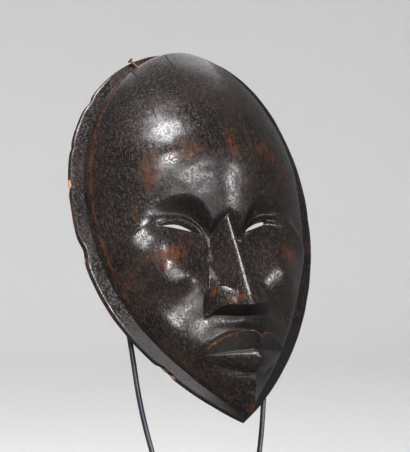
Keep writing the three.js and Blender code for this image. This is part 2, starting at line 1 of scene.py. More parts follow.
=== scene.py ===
import math
import bpy
import numpy as np
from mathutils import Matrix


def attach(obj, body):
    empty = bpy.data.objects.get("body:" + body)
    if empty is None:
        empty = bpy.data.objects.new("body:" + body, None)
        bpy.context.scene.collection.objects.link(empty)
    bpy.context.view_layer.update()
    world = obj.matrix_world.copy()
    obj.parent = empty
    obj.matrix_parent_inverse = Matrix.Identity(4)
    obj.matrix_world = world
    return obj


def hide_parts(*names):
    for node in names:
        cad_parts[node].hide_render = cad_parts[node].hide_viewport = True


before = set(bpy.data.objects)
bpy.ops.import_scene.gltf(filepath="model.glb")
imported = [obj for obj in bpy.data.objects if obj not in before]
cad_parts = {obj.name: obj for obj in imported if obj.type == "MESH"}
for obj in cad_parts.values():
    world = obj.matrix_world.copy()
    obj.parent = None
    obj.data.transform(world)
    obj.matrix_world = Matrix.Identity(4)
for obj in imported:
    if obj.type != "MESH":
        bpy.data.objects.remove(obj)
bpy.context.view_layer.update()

from types import SimpleNamespace as Sizes
from mathutils import Matrix, Vector, noise

# A carved wooden face mask that leans back on two bent rods in a steel foot.
# The carving is worked out in millimetres on the mask's own axes, then leaned and moved to its place.

MASK_CENTRE = Vector((0, 0.024, 0.210))
LEAN = math.radians(21)
MILLIMETRE = 0.001

# The mask's own sizes, in millimetres on the drawing: x across, z up the mask, depth forward of its back
RIM = Sizes(
    top=122.5, bottom=-120, widest=28.9, half_width=80.25,
    crown_fullness=0.9, jaw_curve=2.3, chin_point=0.93,
)
ARRIS = Sizes(
    top=121, bottom=-116.6, widest=24.6, half_width=70,
    crown_fullness=1.05, jaw_curve=2.09, chin_point=1.05,
)


def clamp(share):
    return np.clip(share, 0, 1)


def mix(a, b, share):
    return a + (b - a) * share


def ease(start, end, value):
    share = clamp((value - start) / (end - start))
    return share * share * (3 - 2 * share)


def bump(distance, reach):
    return np.exp(-((distance / reach) ** 2))


def half_width_at(outline, z):
    """Half-width of an outline at height z: an oval above its widest line, a pointed chin below."""
    up = clamp((z - outline.widest) / (outline.top - outline.widest))
    down = clamp((outline.widest - z) / (outline.widest - outline.bottom))
    oval = np.sqrt(1 - up * up) ** outline.crown_fullness
    point = (1 - down ** outline.jaw_curve) ** outline.chin_point
    return outline.half_width * np.where(z >= outline.widest, oval, point)


def outline_point(outline, along):
    """A point of an outline; along runs from 0 at the crown to 1 at the chin."""
    crown_part = 0.4
    angle = clamp(along / crown_part) * np.pi / 2
    down = np.sin(clamp((along - crown_part) / (1 - crown_part)) * np.pi / 2)
    above = along <= crown_part
    x = outline.half_width * np.where(
        above,
        np.sin(angle) ** outline.crown_fullness,
        (1 - down ** outline.jaw_curve) ** outline.chin_point,
    )
    z = outline.widest + np.where(
        above,
        (outline.top - outline.widest) * np.cos(angle),
        (outline.bottom - outline.widest) * down,
    )
    return x, z


# The rim's back edge is flat at the temples and bows forward towards the chin and the crown
BOW = Sizes(chin=21.7, chin_from=-20, chin_over=100, crown=11.4, crown_from=40, crown_over=80)
STEP = Sizes(height=10.5, more_chin=2.6, less_crown=1.9)


def chin_share(z):
    return clamp((BOW.chin_from - z) / BOW.chin_over) ** 2


def crown_share(z):
    return clamp((z - BOW.crown_from) / BOW.crown_over) ** 2


def rim_depth(z):
    return BOW.chin * chin_share(z) + BOW.crown * crown_share(z)


def arris_depth(z):
    return rim_depth(z) + STEP.height + STEP.more_chin * chin_share(z) - STEP.less_crown * crown_share(z)


def across_share(x, z):
    return clamp(np.abs(x) / np.maximum(half_width_at(ARRIS, z), 0.01))


def section(x, z, middle, power, root):
    """A section across the mask: full depth at the middle, the arris at its ends."""
    edge = arris_depth(z)
    return edge + (middle - edge) * (1 - across_share(x, z) ** power) ** root


DOME = Sizes(
    z=40, depth=60, crown_depth=20, crown_power=1.8, bridge_depth=48, bridge_power=1.4, bridge_reach=1.4,
    high=45, high_power=2, high_root=0.78, low=5, low_power=1.75, low_root=0.88,
)


def forehead_depth(x, z):
    to_crown = clamp((z - DOME.z) / (ARRIS.top - DOME.z))
    to_bridge = np.clip((DOME.z - z) / DOME.z, 0, DOME.bridge_reach)
    middle = np.where(
        z > DOME.z,
        mix(DOME.depth, DOME.crown_depth, to_crown ** DOME.crown_power),
        mix(DOME.depth, DOME.bridge_depth, to_bridge ** DOME.bridge_power),
    )
    low = ease(DOME.high, DOME.low, z)
    power = mix(DOME.high_power, DOME.low_power, low)
    return section(x, z, middle, power, mix(DOME.high_root, DOME.low_root, low))


MUZZLE = Sizes(top=-25, full=-68, depth=47.5, keel_top=-98, keel_depth=49.6, keel_end=38.5)
EYE_PLANE = 37
CHEEK = Sizes(x=36, z=-26, across=14, up=14, height=6.2, under=6, under_up=10.5)
JAW_HOLLOW = Sizes(x=30, z=-52, across=14, up=13, depth=2.4)
PHILTRUM = Sizes(z=-65, up=4.5, across=17, depth=3)
# The section across the face: boxy at the eyes, rounded at the mouth and nearly a keel at the chin
FACE_SECTION = Sizes(
    eye_power=4.2, mouth_power=1, power_to=-75, power_fall=0.55,
    eye_root=0.62, mouth_root=0.5, root_from=-30, root_to=-80, chin_root=0.75, chin_from=-85, chin_to=-105,
)
CHEEK_FADE = 0.75


def face_middle(z):
    upper = mix(EYE_PLANE, MUZZLE.depth, ease(MUZZLE.top, MUZZLE.full, z))
    lip_share = (MUZZLE.full - z) / (MUZZLE.full - MUZZLE.keel_top)
    mouth = mix(MUZZLE.depth, MUZZLE.keel_depth, lip_share)
    keel_share = clamp((MUZZLE.keel_top - z) / (MUZZLE.keel_top - ARRIS.bottom))
    keel = mix(MUZZLE.keel_depth, MUZZLE.keel_end, keel_share)
    return np.where(z > MUZZLE.full, upper, np.where(z > MUZZLE.keel_top, mouth, keel))


def face_depth(x, z):
    side = np.abs(x)
    form = FACE_SECTION
    power = mix(form.eye_power, form.mouth_power, ease(0, form.power_to, z) ** form.power_fall)
    root = mix(form.eye_root, form.mouth_root, ease(form.root_from, form.root_to, z))
    root = mix(root, form.chin_root, ease(form.chin_from, form.chin_to, z))
    body = section(x, z, face_middle(z), power, root)
    swell_up = bump(np.minimum(z - CHEEK.z + CHEEK.under, 0), CHEEK.under_up) \
        * bump(np.maximum(z - CHEEK.z, 0), CHEEK.up)
    swell = CHEEK.height * bump(side - CHEEK.x, CHEEK.across) * swell_up
    sink = JAW_HOLLOW.depth * bump(side - JAW_HOLLOW.x, JAW_HOLLOW.across) \
        * bump(z - JAW_HOLLOW.z, JAW_HOLLOW.up)
    groove = PHILTRUM.depth * bump(side, PHILTRUM.across) * bump(z - PHILTRUM.z, PHILTRUM.up)
    return body + (swell - sink) * (1 - ease(CHEEK_FADE, 1, across_share(x, z))) - groove


# Flattish polished places by the left eye and on both cheeks: middle x, middle z, reach, slopes across and up
POLISHED = [(-50, -8, 7, 0.592, 0.145), (-36, -33, 8, 0.415, 0.259), (30, -34, 8.5, -0.045, 0.296)]
POLISH = Sizes(weight=0.72, outer=1.45, inner=0.3)


def polished(x, z, ground):
    for middle_x, middle_z, reach, slope_x, slope_z in POLISHED:
        middle = face_depth(np.array([float(middle_x)]), np.array([float(middle_z)]))[0]
        flat = middle + slope_x * (x - middle_x) + slope_z * (z - middle_z)
        away = np.hypot(x - middle_x, z - middle_z) / reach
        ground = mix(ground, flat, POLISH.weight * ease(POLISH.outer, POLISH.inner, away))
    return ground


def arched(line, side, inner_power=2):
    """Height of a line that falls both ways from its top, to its inner end and to its outer end."""
    inward = ((line.x - side) / (line.x - line.inner_x)) ** inner_power
    outward = ((side - line.x) / (line.outer_x - line.x)) ** 2
    return np.where(side < line.x, mix(line.top, line.inner_z, inward), mix(line.top, line.outer_z, outward))


BROW = Sizes(
    x=31, top=9.8, inner_x=10.5, inner_z=-6.3, inner_power=3, outer_x=52, outer_z=3,
    middle_z=-2.5, below=6.5, above=5, by_nose=2,
)


def brow_edge(x):
    side = np.abs(x)
    bridge = mix(BROW.middle_z, BROW.inner_z, side / BROW.inner_x)
    return np.where(side < BROW.inner_x, bridge, arched(BROW, side, BROW.inner_power))


LID = Sizes(x=30, top=2.1, inner_x=15, inner_z=-5.4, outer_x=46.5, outer_z=-1.8)
LID_RIDGE = Sizes(height=1.5, reach=2.1, inner_fade=4, outer_end=1, outer_full=12, full_to=12, gone_at=20)


def lid_line(x):
    return arched(LID, np.abs(x))


def eye_relief(x, z):
    side = np.abs(x)
    inner = ease(LID.inner_x - LID_RIDGE.inner_fade, LID.inner_x + LID_RIDGE.inner_fade, side)
    outer = ease(LID.outer_x - LID_RIDGE.outer_end, LID.outer_x - LID_RIDGE.outer_full, side)
    near_eyes = ease(LID_RIDGE.gone_at, LID_RIDGE.full_to, np.abs(z))
    return inner * outer * LID_RIDGE.height * bump(z - lid_line(x), LID_RIDGE.reach) * near_eyes


NOSE = Sizes(
    top=1, above=6, root_depth=47.5, tip=-54.6, tip_depth=62, ridge_power=1.05, lean=-0.3, bridge_power=1.04,
    ridge_round=1.7, root_round=0.8, tip_round=2,
    root_half_width=8, low_half_width=14.8, flare_power=1.5, right_root=6, right_low=10.5,
    wing_top=-42, wing_fall=12, wing_step=1.6, wing_high_width=18, right_high_width=14, wing_low_width=21,
    wing_widens_over=14, wing_flare=0.8, wing_squareness=12, wing_round=0.035, wing_half_height=8,
    wing_middle=57.6, wing_bend=0.19, wing_bend_power=1.5,
    base=-60.2, below=5, left_lift=3.6, left_lift_x=13, left_drop=3, left_drop_x=14,
    right_lift=7.5, right_power=0.8, foot=-61.6, foot_below=0.9, foot_lift=3.6, foot_reach=22, foot_power=1.4,
)


def soften(x, rounding):
    return np.sqrt(x * x + rounding * rounding) - rounding


def wing_top(side):
    """Height of the wing's upper edge: level at its outer end, falling towards the tip of the nose."""
    return NOSE.wing_top - NOSE.wing_fall * clamp(1 - side / NOSE.wing_high_width) ** 2


def nose_base(x):
    """Height of the nose's lower edge: it rises beside the tip, and further out on the right."""
    drop = NOSE.left_drop * ease(NOSE.left_drop_x, NOSE.wing_low_width, -x)
    left = NOSE.left_lift * ease(0, NOSE.left_lift_x, -x) - drop
    right = NOSE.right_lift * clamp(x / NOSE.wing_low_width) ** NOSE.right_power
    return NOSE.base + np.where(x < 0, left, right)


def nose_foot(x):
    """Height at which the underside of the nose meets the face."""
    lifted = NOSE.foot + NOSE.foot_lift * clamp(np.abs(x) / NOSE.foot_reach) ** NOSE.foot_power
    return np.minimum(nose_base(x) - NOSE.foot_below, lifted)


def nose_depth(x_here, z, ground):
    down = clamp((NOSE.top - z) / (NOSE.top - NOSE.tip))
    x = x_here - NOSE.lean * down
    ridge = mix(NOSE.root_depth, NOSE.tip_depth, down ** NOSE.ridge_power)
    left_width = mix(NOSE.root_half_width, NOSE.low_half_width, down ** NOSE.flare_power)
    half_width = np.where(x > 0, mix(NOSE.right_root, NOSE.right_low, down), left_width)
    foot = face_depth(half_width, z)
    side = soften(x, mix(NOSE.root_round, NOSE.tip_round, down) * NOSE.ridge_round)
    bridge = ridge - (ridge - foot) * (side / half_width) ** NOSE.bridge_power
    below_top = wing_top(np.abs(x)) - z
    wing_rise = np.sqrt(clamp(below_top / NOSE.wing_step))
    high_width = np.where(x > 0, NOSE.right_high_width, NOSE.wing_high_width)
    widened = clamp((NOSE.wing_top - z) / NOSE.wing_widens_over) ** NOSE.wing_flare
    half = mix(high_width, NOSE.wing_low_width, widened)
    wing_out = np.sqrt(np.maximum(0, 1 - (np.abs(x) / half) ** NOSE.wing_squareness))
    off_middle = np.clip((below_top - NOSE.wing_half_height) / NOSE.wing_half_height, -1, 1)
    swell = 1 - NOSE.wing_round * off_middle ** 2
    wing_front = (NOSE.wing_middle - NOSE.wing_bend * side ** NOSE.wing_bend_power) * swell
    wing = ground + (wing_front - ground) * wing_rise * wing_out
    base, low = nose_base(x_here), nose_foot(x_here)
    under = clamp((z - low) / (base - low))
    return mix(ground, np.maximum(np.maximum(bridge, wing), ground), under)


LIPS = Sizes(
    half_width=26.5, slant=0.11, right_drop=0.9, drop_from=3, drop_to=12, corner_z=-79, arris_corner_z=-78.6,
    arris_notch=-80.6, arris_rise=0.5, arris_fall=2, arris_peak_x=10, arris_peak=-73,
    right_rise=0.9, right_fall=3, right_peak_x=14, arris_depth=62.7, arris_slope=1.09,
    parting_middle=-85, parting_depth=55.6, parting_slope=0.86,
    bottom_middle=-95.4, bottom_depth=53, bottom_slope=0.75, bottom_power=1.15, right_bottom_power=1.8,
    ramp=4, ramp_power=0.8, roll=3.6, roll_power=1.15, roll_past=4, undercut=1.3, ridge_round=2.2,
    moat=2.2, moat_reach=3.4, moat_below=1.5, moat_from=14, moat_to=25,
)


def upper_arris(x):
    """Height of the upper lip's edge: from the notch up to a peak, rounder on the right, and down."""
    side = np.abs(x)
    peak_x = np.where(x > 0, LIPS.right_peak_x, LIPS.arris_peak_x)
    rise = np.where(x > 0, LIPS.right_rise, LIPS.arris_rise)
    inner = mix(LIPS.arris_notch, LIPS.arris_peak, np.sin(clamp(side / peak_x) * np.pi / 2) ** rise)
    share = clamp((side - peak_x) / (LIPS.half_width - peak_x))
    fall = share ** np.where(x > 0, LIPS.right_fall, LIPS.arris_fall)
    return np.where(side < peak_x, inner, mix(LIPS.arris_peak, LIPS.arris_corner_z, fall))


def lip_parting(x):
    return mix(LIPS.parting_middle, LIPS.corner_z, np.abs(x) / LIPS.half_width)


def lip_bottom(x):
    power = np.where(x > 0, LIPS.right_bottom_power, LIPS.bottom_power)
    return mix(LIPS.bottom_middle, LIPS.corner_z, (np.abs(x) / LIPS.half_width) ** power)


def lip_shift(x):
    """How far the mouth's lines lie off the drawn ones: a slant on the left, a drop on the right."""
    return LIPS.slant * np.minimum(x, 0) - LIPS.right_drop * ease(LIPS.drop_from, LIPS.drop_to, x)


def on_lips(x):
    return np.clip(x, -LIPS.half_width, LIPS.half_width)


def lip_depth(x, z_here, ground):
    here = on_lips(x)
    side = np.abs(here)
    z = z_here - lip_shift(x)
    rounded = soften(x, LIPS.ridge_round)
    arris_z, parting_z, bottom_z = upper_arris(here), lip_parting(here), lip_bottom(here)
    arris = LIPS.arris_depth - LIPS.arris_slope * rounded
    inner = LIPS.parting_depth - LIPS.parting_slope * rounded
    bottom = LIPS.bottom_depth - LIPS.bottom_slope * rounded
    above = mix(arris, ground, clamp((z - arris_z) / LIPS.ramp) ** LIPS.ramp_power)
    upper = mix(inner, arris, (z - parting_z) / np.maximum(arris_z - parting_z, 0.01))
    share = clamp((parting_z - z) / np.maximum(parting_z - bottom_z, 0.01))
    to_corner = 1 - side / (LIPS.half_width + LIPS.roll_past)
    roll = LIPS.roll * np.sin(share ** LIPS.roll_power * np.pi) * to_corner
    lower = mix(inner, bottom, share ** 2) + roll
    moat = LIPS.moat * bump(bottom_z - z - LIPS.moat_below, LIPS.moat_reach) \
        * (1 - ease(LIPS.moat_from, LIPS.moat_to, side))
    ground = ground - np.where(z < parting_z, moat, 0)
    below = mix(bottom, ground, clamp((bottom_z - z) / LIPS.undercut))
    lips = np.where(z > arris_z, above, np.where(z > parting_z, upper, np.where(z > bottom_z, lower, below)))
    return np.where(np.abs(x) > LIPS.half_width, ground, np.maximum(ground, lips))


def front_depth(x, z):
    """The whole carved front, as depth forward of the back plane."""
    face = polished(x, z, face_depth(x, z)) + eye_relief(x, z)
    edge = brow_edge(x)
    by_nose = BROW.by_nose * bump(x, BROW.inner_x)
    over_brow = ease(edge - BROW.below - by_nose, edge + BROW.above + by_nose, z)
    ground = mix(face, forehead_depth(x, z), over_brow)
    with_nose = np.where(z > NOSE.top + NOSE.above, ground, nose_depth(x, z, ground))
    return np.where(z < NOSE.base - NOSE.below, lip_depth(x, z, with_nose), with_nose)


# The rows of the carving follow lines across the mask; these give a line's height at x
EYE_ROWS = Sizes(inner_x=11, outer_x=49)
WING_ROWS = Sizes(fall=0.35, reach=10)


def level(z):
    return lambda x: np.full_like(x, z)


def eye_line(above):
    return lambda x: lid_line(np.clip(np.abs(x), EYE_ROWS.inner_x, EYE_ROWS.outer_x)) + above


def nose_line(line):
    return lambda x: line(np.clip(x, -NOSE.wing_low_width, NOSE.wing_low_width))


def wing_line(above):
    return lambda x: NOSE.wing_top - NOSE.wing_fall * WING_ROWS.fall * bump(x, WING_ROWS.reach) + above


def lip_line(line, lower, spread):
    def height(x):
        here = on_lips(x)
        side = np.abs(here)
        opened = spread * (1 + np.abs(x) - side) * (side / LIPS.half_width)
        return line(here) - lower + lip_shift(here) + opened
    return height


# Each line with the number of rows between it and the next one; the first lines follow the crown's outline
CROWN_ROWS = [0, 0.006, 0.014, 0.026, 0.045, 0.07, 0.1, 0.134, 0.168, 0.2, 0.234, 0.268]
GUIDES = [(level(float(outline_point(ARRIS, np.array(along))[1])), 5) for along in CROWN_ROWS] + [
    (level(61), 40),
    (level(29), 26),
    (eye_line(9.5), 18),
    (eye_line(3.4), 10),
    (eye_line(0), 8),
    (eye_line(-2.4), 12),
    (eye_line(-8), 24),
    (level(-27), 20),
    (wing_line(0.5), 10),
    (wing_line(-2.5), 22),
    (nose_line(nose_base), 9),
    (nose_line(nose_foot), 10),
    (level(-66), 14),
    (lip_line(upper_arris, 0, 0.45), 20),
    (lip_line(lip_parting, 0, 0), 22),
    (lip_line(lip_bottom, 0, -1.2), 6),
    (lip_line(lip_bottom, LIPS.undercut, -1.6), 16),
    (level(-107), 14),
    (level(-113), 6),
    (level(ARRIS.bottom), 0),
]
ROWS = sum(rows for _, rows in GUIDES)
COLUMNS = 196
# How far columns crowd towards the middle where the mask is narrow and where it is wide
CROWDING = Sizes(narrow=0.95, wide=0.72, narrow_width=25, over=40)
PLACING = Sizes(turns=30, share=0.6)


def row_height(position, x):
    """Height of the row at each position, counted down from the crown."""
    starts = np.cumsum([0] + [rows for _, rows in GUIDES[:-1]])
    index = np.clip(np.searchsorted(starts, position, side="right") - 1, 0, len(GUIDES) - 2)
    lines = np.stack([line(x) for line, _ in GUIDES])
    here = np.arange(len(x))
    counts = np.array([rows for _, rows in GUIDES])
    share = (position - starts[index]) / counts[index]
    return mix(lines[index, here], lines[index + 1, here], share)


def front_places(share, position):
    """Where each point of the front lies: share runs from -1 at one arris to 1 at the other."""
    x = np.zeros_like(share)
    z = row_height(position, x)
    for _ in range(PLACING.turns):
        half_width = half_width_at(ARRIS, z)
        wide = clamp((half_width - CROWDING.narrow_width) / CROWDING.over)
        crowding = mix(CROWDING.narrow, CROWDING.wide, wide)
        x = mix(x, half_width * share * mix(share * share, 1, crowding), PLACING.share)
        z = row_height(position, x)
    return x, z


def noise_at(x, y, z, size):
    """Soft noise between -1 and 1, with lumps of about the given size in millimetres."""
    return np.array([noise.noise(Vector(p)) for p in zip(x / size, y / size, z / size)])


# Unevenness of the carved surface: height, size of its lumps, and where in the noise it is taken
TOOL_MARKS = [(0.32, 22, 0), (0.14, 8, 9), (0.05, 3, 5)]
MARKS_TO_ARRIS = 12


def tool_marks(x, z):
    """The slight unevenness that a hand-carved and long-handled surface has."""
    return sum(height * noise_at(x, 0 * x + layer, z, size) for height, size, layer in TOOL_MARKS)


# Pieces are shaped on their own axes with these helpers, then leaned and moved
def start_piece(name):
    piece = bpy.context.object
    piece.name = name
    piece.data.name = name
    return piece


def select_only(piece):
    bpy.ops.object.select_all(action="DESELECT")
    piece.select_set(True)
    bpy.context.view_layer.objects.active = piece


def points_of(piece):
    flat = np.empty(len(piece.data.vertices) * 3)
    piece.data.vertices.foreach_get("co", flat)
    return flat.reshape(-1, 3)


def put_points(piece, points):
    piece.data.vertices.foreach_set("co", points.ravel())
    piece.data.update()


def on_mask(x, z, depth):
    """Drawn millimetres to metres on the mask's own axes."""
    return np.stack([x, -depth, z], axis=1) * MILLIMETRE


def tag_points(piece, values):
    tags = piece.data.attributes.new("tag", "FLOAT_VECTOR", "POINT")
    tags.data.foreach_set("vector", values.astype(np.float32).ravel())


def tags_of(piece):
    flat = np.empty(len(piece.data.vertices) * 3, np.float32)
    piece.data.attributes["tag"].data.foreach_get("vector", flat)
    return flat.reshape(-1, 3).astype(float)


def edit_mode():
    bpy.ops.object.mode_set(mode="EDIT")


def object_mode():
    bpy.ops.object.mode_set(mode="OBJECT")


def turn_faces_outwards():
    """Turns all faces of the shape in edit mode outwards, and leaves edit mode."""
    bpy.ops.mesh.select_all(action="SELECT")
    bpy.ops.mesh.normals_make_consistent(inside=False)
    object_mode()


def merge_doubles():
    edit_mode()
    bpy.ops.mesh.select_all(action="SELECT")
    bpy.ops.mesh.remove_doubles(threshold=0.000005)


def extrude_up(height):
    bpy.ops.mesh.extrude_region_move(TRANSFORM_OT_translate={"value": (0, 0, height)})


def widen(by, height):
    bpy.ops.transform.resize(value=(by, by, 1), center_override=(0, 0, height))


def select_open_edge(piece):
    select_only(piece)
    edit_mode()
    bpy.ops.mesh.select_mode(type="EDGE")
    bpy.ops.mesh.select_all(action="DESELECT")
    bpy.ops.mesh.select_non_manifold(extend=False, use_wire=True, use_multi_face=False,
                                     use_non_contiguous=False, use_verts=False)
    object_mode()


def next_ring(piece, place):
    """Extrudes the selected open edge, and puts the new ring where place says from the points' tags."""
    edit_mode()
    bpy.ops.mesh.extrude_region_move()
    object_mode()
    picked = np.empty(len(piece.data.vertices), bool)
    piece.data.vertices.foreach_get("select", picked)
    points = points_of(piece)
    points[picked] = place(tags_of(piece)[picked])
    put_points(piece, points)


def close_at(piece, x, z, depth):
    """Extrudes the selected open edge and gathers it in one point."""
    next_ring(piece, lambda tags: on_mask(*[np.full(len(tags), v, float) for v in (x, z, depth)]))
    edit_mode()
    bpy.ops.mesh.merge(type="CENTER")
    turn_faces_outwards()


def cut(piece, tool):
    change = piece.modifiers.new("cut", "BOOLEAN")
    change.operation = "DIFFERENCE"
    change.solver = "MANIFOLD"
    change.object = tool
    select_only(piece)
    bpy.ops.object.modifier_apply(modifier=change.name)
    bpy.data.objects.remove(tool)


def finish_piece(piece, node, material, smooth_angle):
    select_only(piece)
    bpy.ops.object.shade_smooth_by_angle(angle=math.radians(smooth_angle))
    piece.data.materials.clear()
    piece.data.materials.append(material)
    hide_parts(node)
    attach(piece, "root")


# Damage to the thin outer edge on the left: height up the mask, reach along the edge, depth of the bite
EDGE_BITES = [
    (-4.7, 6, 1.7), (91.5, 2.6, 1.1), (-81.8, 2.2, 1.5), (-86.4, 2, 1.2), (35.5, 2.4, 0.7), (62.5, 2, 0.6),
]
EDGE_WEAR = Sizes(all_round=0.1, uneven=0.25, lumps=11, right=0.3, most=3, from_share=0.7)

# Rays across the band start at this height on the mask's middle line
RAY_START_Z = 15
EDGE_SAMPLES = 4001

# Shares of the way from the arris to the outer edge, and of the drop from the arris to the band
BAND = Sizes(
    rim_rise=2.6, foot_share=0.2, foot_drop=0.5, fall_power=1.25, rounding=0.5, rounded_from=0.93,
    marks_scale=1.4, marks_shift=60, marks_full=0.15,
)
BAND_RINGS = [0.012, 0.04, 0.09, 0.15, 0.2, 0.26, 0.38, 0.52, 0.66, 0.8, 0.9, 0.96, 0.99]
# The last rings turn over the edge: height above the rim's back edge, and distance inwards
EDGE_RINGS = [(1.2, 0), (0.3, 0.1), (0, 0.5)]
BACK_DEPTH = -1


def facing_edge(x, z):
    """The point of the outer edge on the ray that runs from the rays' start through x, z."""
    wanted = np.arctan2(np.abs(x), z - RAY_START_Z)
    along = np.linspace(0, 1, EDGE_SAMPLES)
    edge_x, edge_z = outline_point(RIM, along)
    found = np.interp(wanted, np.arctan2(edge_x, edge_z - RAY_START_Z), along)
    edge_x, edge_z = outline_point(RIM, found)
    return edge_x * np.sign(x), edge_z


def from_ray_start(x, z):
    return np.hypot(x, z - RAY_START_Z)


def drawn_in(x, z, distance):
    """Points moved towards the rays' start by a distance."""
    back = distance / np.maximum(from_ray_start(x, z), 1)
    return x * (1 - back), z - (z - RAY_START_Z) * back


def bitten(x, z, across):
    """How far the outer edge is worn back, in millimetres."""
    uneven = EDGE_WEAR.uneven * noise_at(x, 0 * x, z, EDGE_WEAR.lumps)
    bite = EDGE_WEAR.all_round + uneven + np.where(x > 0, EDGE_WEAR.right, 0)
    for bite_z, reach, depth in EDGE_BITES:
        bite = bite + np.where(x < 0, depth * bump(z - bite_z, reach), 0)
    return np.clip(bite, 0, EDGE_WEAR.most) * ease(EDGE_WEAR.from_share, 1, across)


def band_ring(across):
    def place(tags):
        arris_x, arris_z, arris = tags.T
        edge_x, edge_z = facing_edge(arris_x, arris_z)
        x, z = mix(arris_x, edge_x, across), mix(arris_z, edge_z, across)
        rim = rim_depth(edge_z)
        foot = mix(arris, rim, BAND.foot_drop)
        step = mix(arris, foot, clamp(across / BAND.foot_share) ** BAND.fall_power)
        flange = mix(foot, rim + BAND.rim_rise, clamp((across - BAND.foot_share) / (1 - BAND.foot_share)))
        rounding = BAND.rounding * ease(BAND.rounded_from, 1, across) * BAND.rim_rise
        depth = np.where(across < BAND.foot_share, step, flange - rounding)
        worn = tool_marks(x * BAND.marks_scale, z * BAND.marks_scale + BAND.marks_shift)
        worn = worn * ease(0, BAND.marks_full, across)
        return on_mask(*drawn_in(x, z, bitten(x, z, across)), depth + worn)
    return place


def outer_edge(rise, in_by):
    def place(tags):
        edge_x, edge_z = facing_edge(tags[:, 0], tags[:, 1])
        x, z = drawn_in(edge_x, edge_z, bitten(edge_x, edge_z, 1.0) + in_by)
        return on_mask(x, z, rim_depth(edge_z) + rise)
    return place


def mask_blank():
    """The carved front as a fine grid, its rim band and a flat back, as one closed shape."""
    bpy.ops.mesh.primitive_grid_add(x_subdivisions=COLUMNS, y_subdivisions=ROWS, size=2)
    piece = start_piece("carved_mask")
    grid = points_of(piece)
    x, z = front_places(np.clip(grid[:, 0], -1, 1), (1 - np.clip(grid[:, 1], -1, 1)) / 2 * ROWS)
    depth = front_depth(x, z)
    fade = 1 - across_share(x, z) ** MARKS_TO_ARRIS
    put_points(piece, on_mask(x, z, depth + tool_marks(x, z) * fade))
    tag_points(piece, np.stack([x, z, depth], axis=1))
    select_only(piece)
    merge_doubles()
    object_mode()
    select_open_edge(piece)
    for across in BAND_RINGS:
        next_ring(piece, band_ring(across))
    for rise, in_by in EDGE_RINGS:
        next_ring(piece, outer_edge(rise, in_by))
    close_at(piece, 0, 0, BACK_DEPTH)
    return piece


# The hollow behind the face: it follows the face without its nose, lips and lids
WALL = 8.5
EYE_WALL = 3.6
RIM_WIDTH = 9.5
HOLLOW = Sizes(**vars(RIM))
HOLLOW.top = RIM.top - RIM_WIDTH
HOLLOW.bottom = RIM.bottom + 1.8 * RIM_WIDTH
HOLLOW.half_width = RIM.half_width - RIM_WIDTH
HOLLOW_MIDDLE = 5
HOLLOW_SIDES = 96
HOLLOW_RINGS = 24
HOLLOW_OPENING = -12.0
HOLLOW_FORM = Sizes(brow_from=-4, brow_to=14, eye_reach=18, side_power=4, ring_power=1.4)
GOUGES = Sizes(depth=0.5, size=9, side_power=6)


def hollow_place(along, side, out):
    inner_x, inner_z = outline_point(HOLLOW, along)
    outer_x, outer_z = outline_point(ARRIS, along)
    z = mix(HOLLOW_MIDDLE, inner_z, out)
    front_z = mix(HOLLOW_MIDDLE, outer_z, out)
    front_x = outer_x * out
    above_eyes = ease(HOLLOW_FORM.brow_from, HOLLOW_FORM.brow_to, front_z)
    front = mix(face_depth(front_x, front_z), forehead_depth(front_x, front_z), above_eyes)
    rise = arris_depth(outer_z) - rim_depth(outer_z)
    wall = mix(WALL, EYE_WALL, bump(front_z, HOLLOW_FORM.eye_reach))
    x = side * inner_x * out
    gouges = GOUGES.depth * noise_at(x, 0 * z, z, GOUGES.size) * (1 - out ** GOUGES.side_power)
    return x, z, front - mix(wall, rise, out ** HOLLOW_FORM.side_power) + gouges


def hollow_ring(out):
    return lambda tags: on_mask(*hollow_place(tags[:, 0], tags[:, 1], out))


def hollow_tool():
    bpy.ops.mesh.primitive_circle_add(vertices=HOLLOW_SIDES, radius=1, fill_type="NOTHING")
    tool = start_piece("hollow_tool")
    flat = points_of(tool)
    turn = np.arctan2(flat[:, 0], flat[:, 1]) / np.pi
    along, side = np.abs(turn), np.where(turn < 0, -1, 1)
    tag_points(tool, np.stack([along, side, 0 * side], axis=1))
    x, z, _ = hollow_place(along, side, 1)
    put_points(tool, on_mask(x, z, np.full(len(x), HOLLOW_OPENING)))
    select_open_edge(tool)
    edit_mode()
    bpy.ops.mesh.edge_face_add()
    object_mode()
    select_open_edge(tool)
    for i in range(HOLLOW_RINGS):
        next_ring(tool, hollow_ring(1 - (i / HOLLOW_RINGS) ** HOLLOW_FORM.ring_power))
    _, _, middle = hollow_place(np.zeros(1), np.ones(1), 0)
    close_at(tool, 0, HOLLOW_MIDDLE, middle[0])
    return tool


# Eye slits: an arched upper edge over a nearly straight lower one, which rises outwards
SLIT = Sizes(
    inner_x=15.5, inner_z=-6.8, x=31, top=0.3, outer_x=41, outer_z=-0.4, low_z=-7, low_rise=0.235,
)
SHORT_SLIT = Sizes(
    inner_x=14.6, inner_z=-5.4, x=31, top=2, outer_x=29.8, outer_z=2, low_z=-5.9, low_rise=0.37,
)
SLIT_POINTS = 17
SLIT_REACH = 70


def slit_low(ends, x):
    return ends.low_z + ends.low_rise * (x - ends.inner_x)


def slit_tool(side, ends):
    along = np.linspace(ends.inner_x, ends.outer_x, SLIT_POINTS)
    x = side * np.concatenate([along, along[::-1]])
    z = np.concatenate([arched(ends, along), slit_low(ends, along)[::-1]])
    bpy.ops.mesh.primitive_circle_add(vertices=2 * SLIT_POINTS, radius=1, fill_type="NGON")
    tool = start_piece("slit_tool")
    put_points(tool, on_mask(x, z, 0 * x))
    select_only(tool)
    edit_mode()
    bpy.ops.mesh.select_all(action="SELECT")
    bpy.ops.mesh.extrude_region_move(TRANSFORM_OT_translate={"value": (0, -SLIT_REACH * MILLIMETRE, 0)})
    turn_faces_outwards()
    return tool


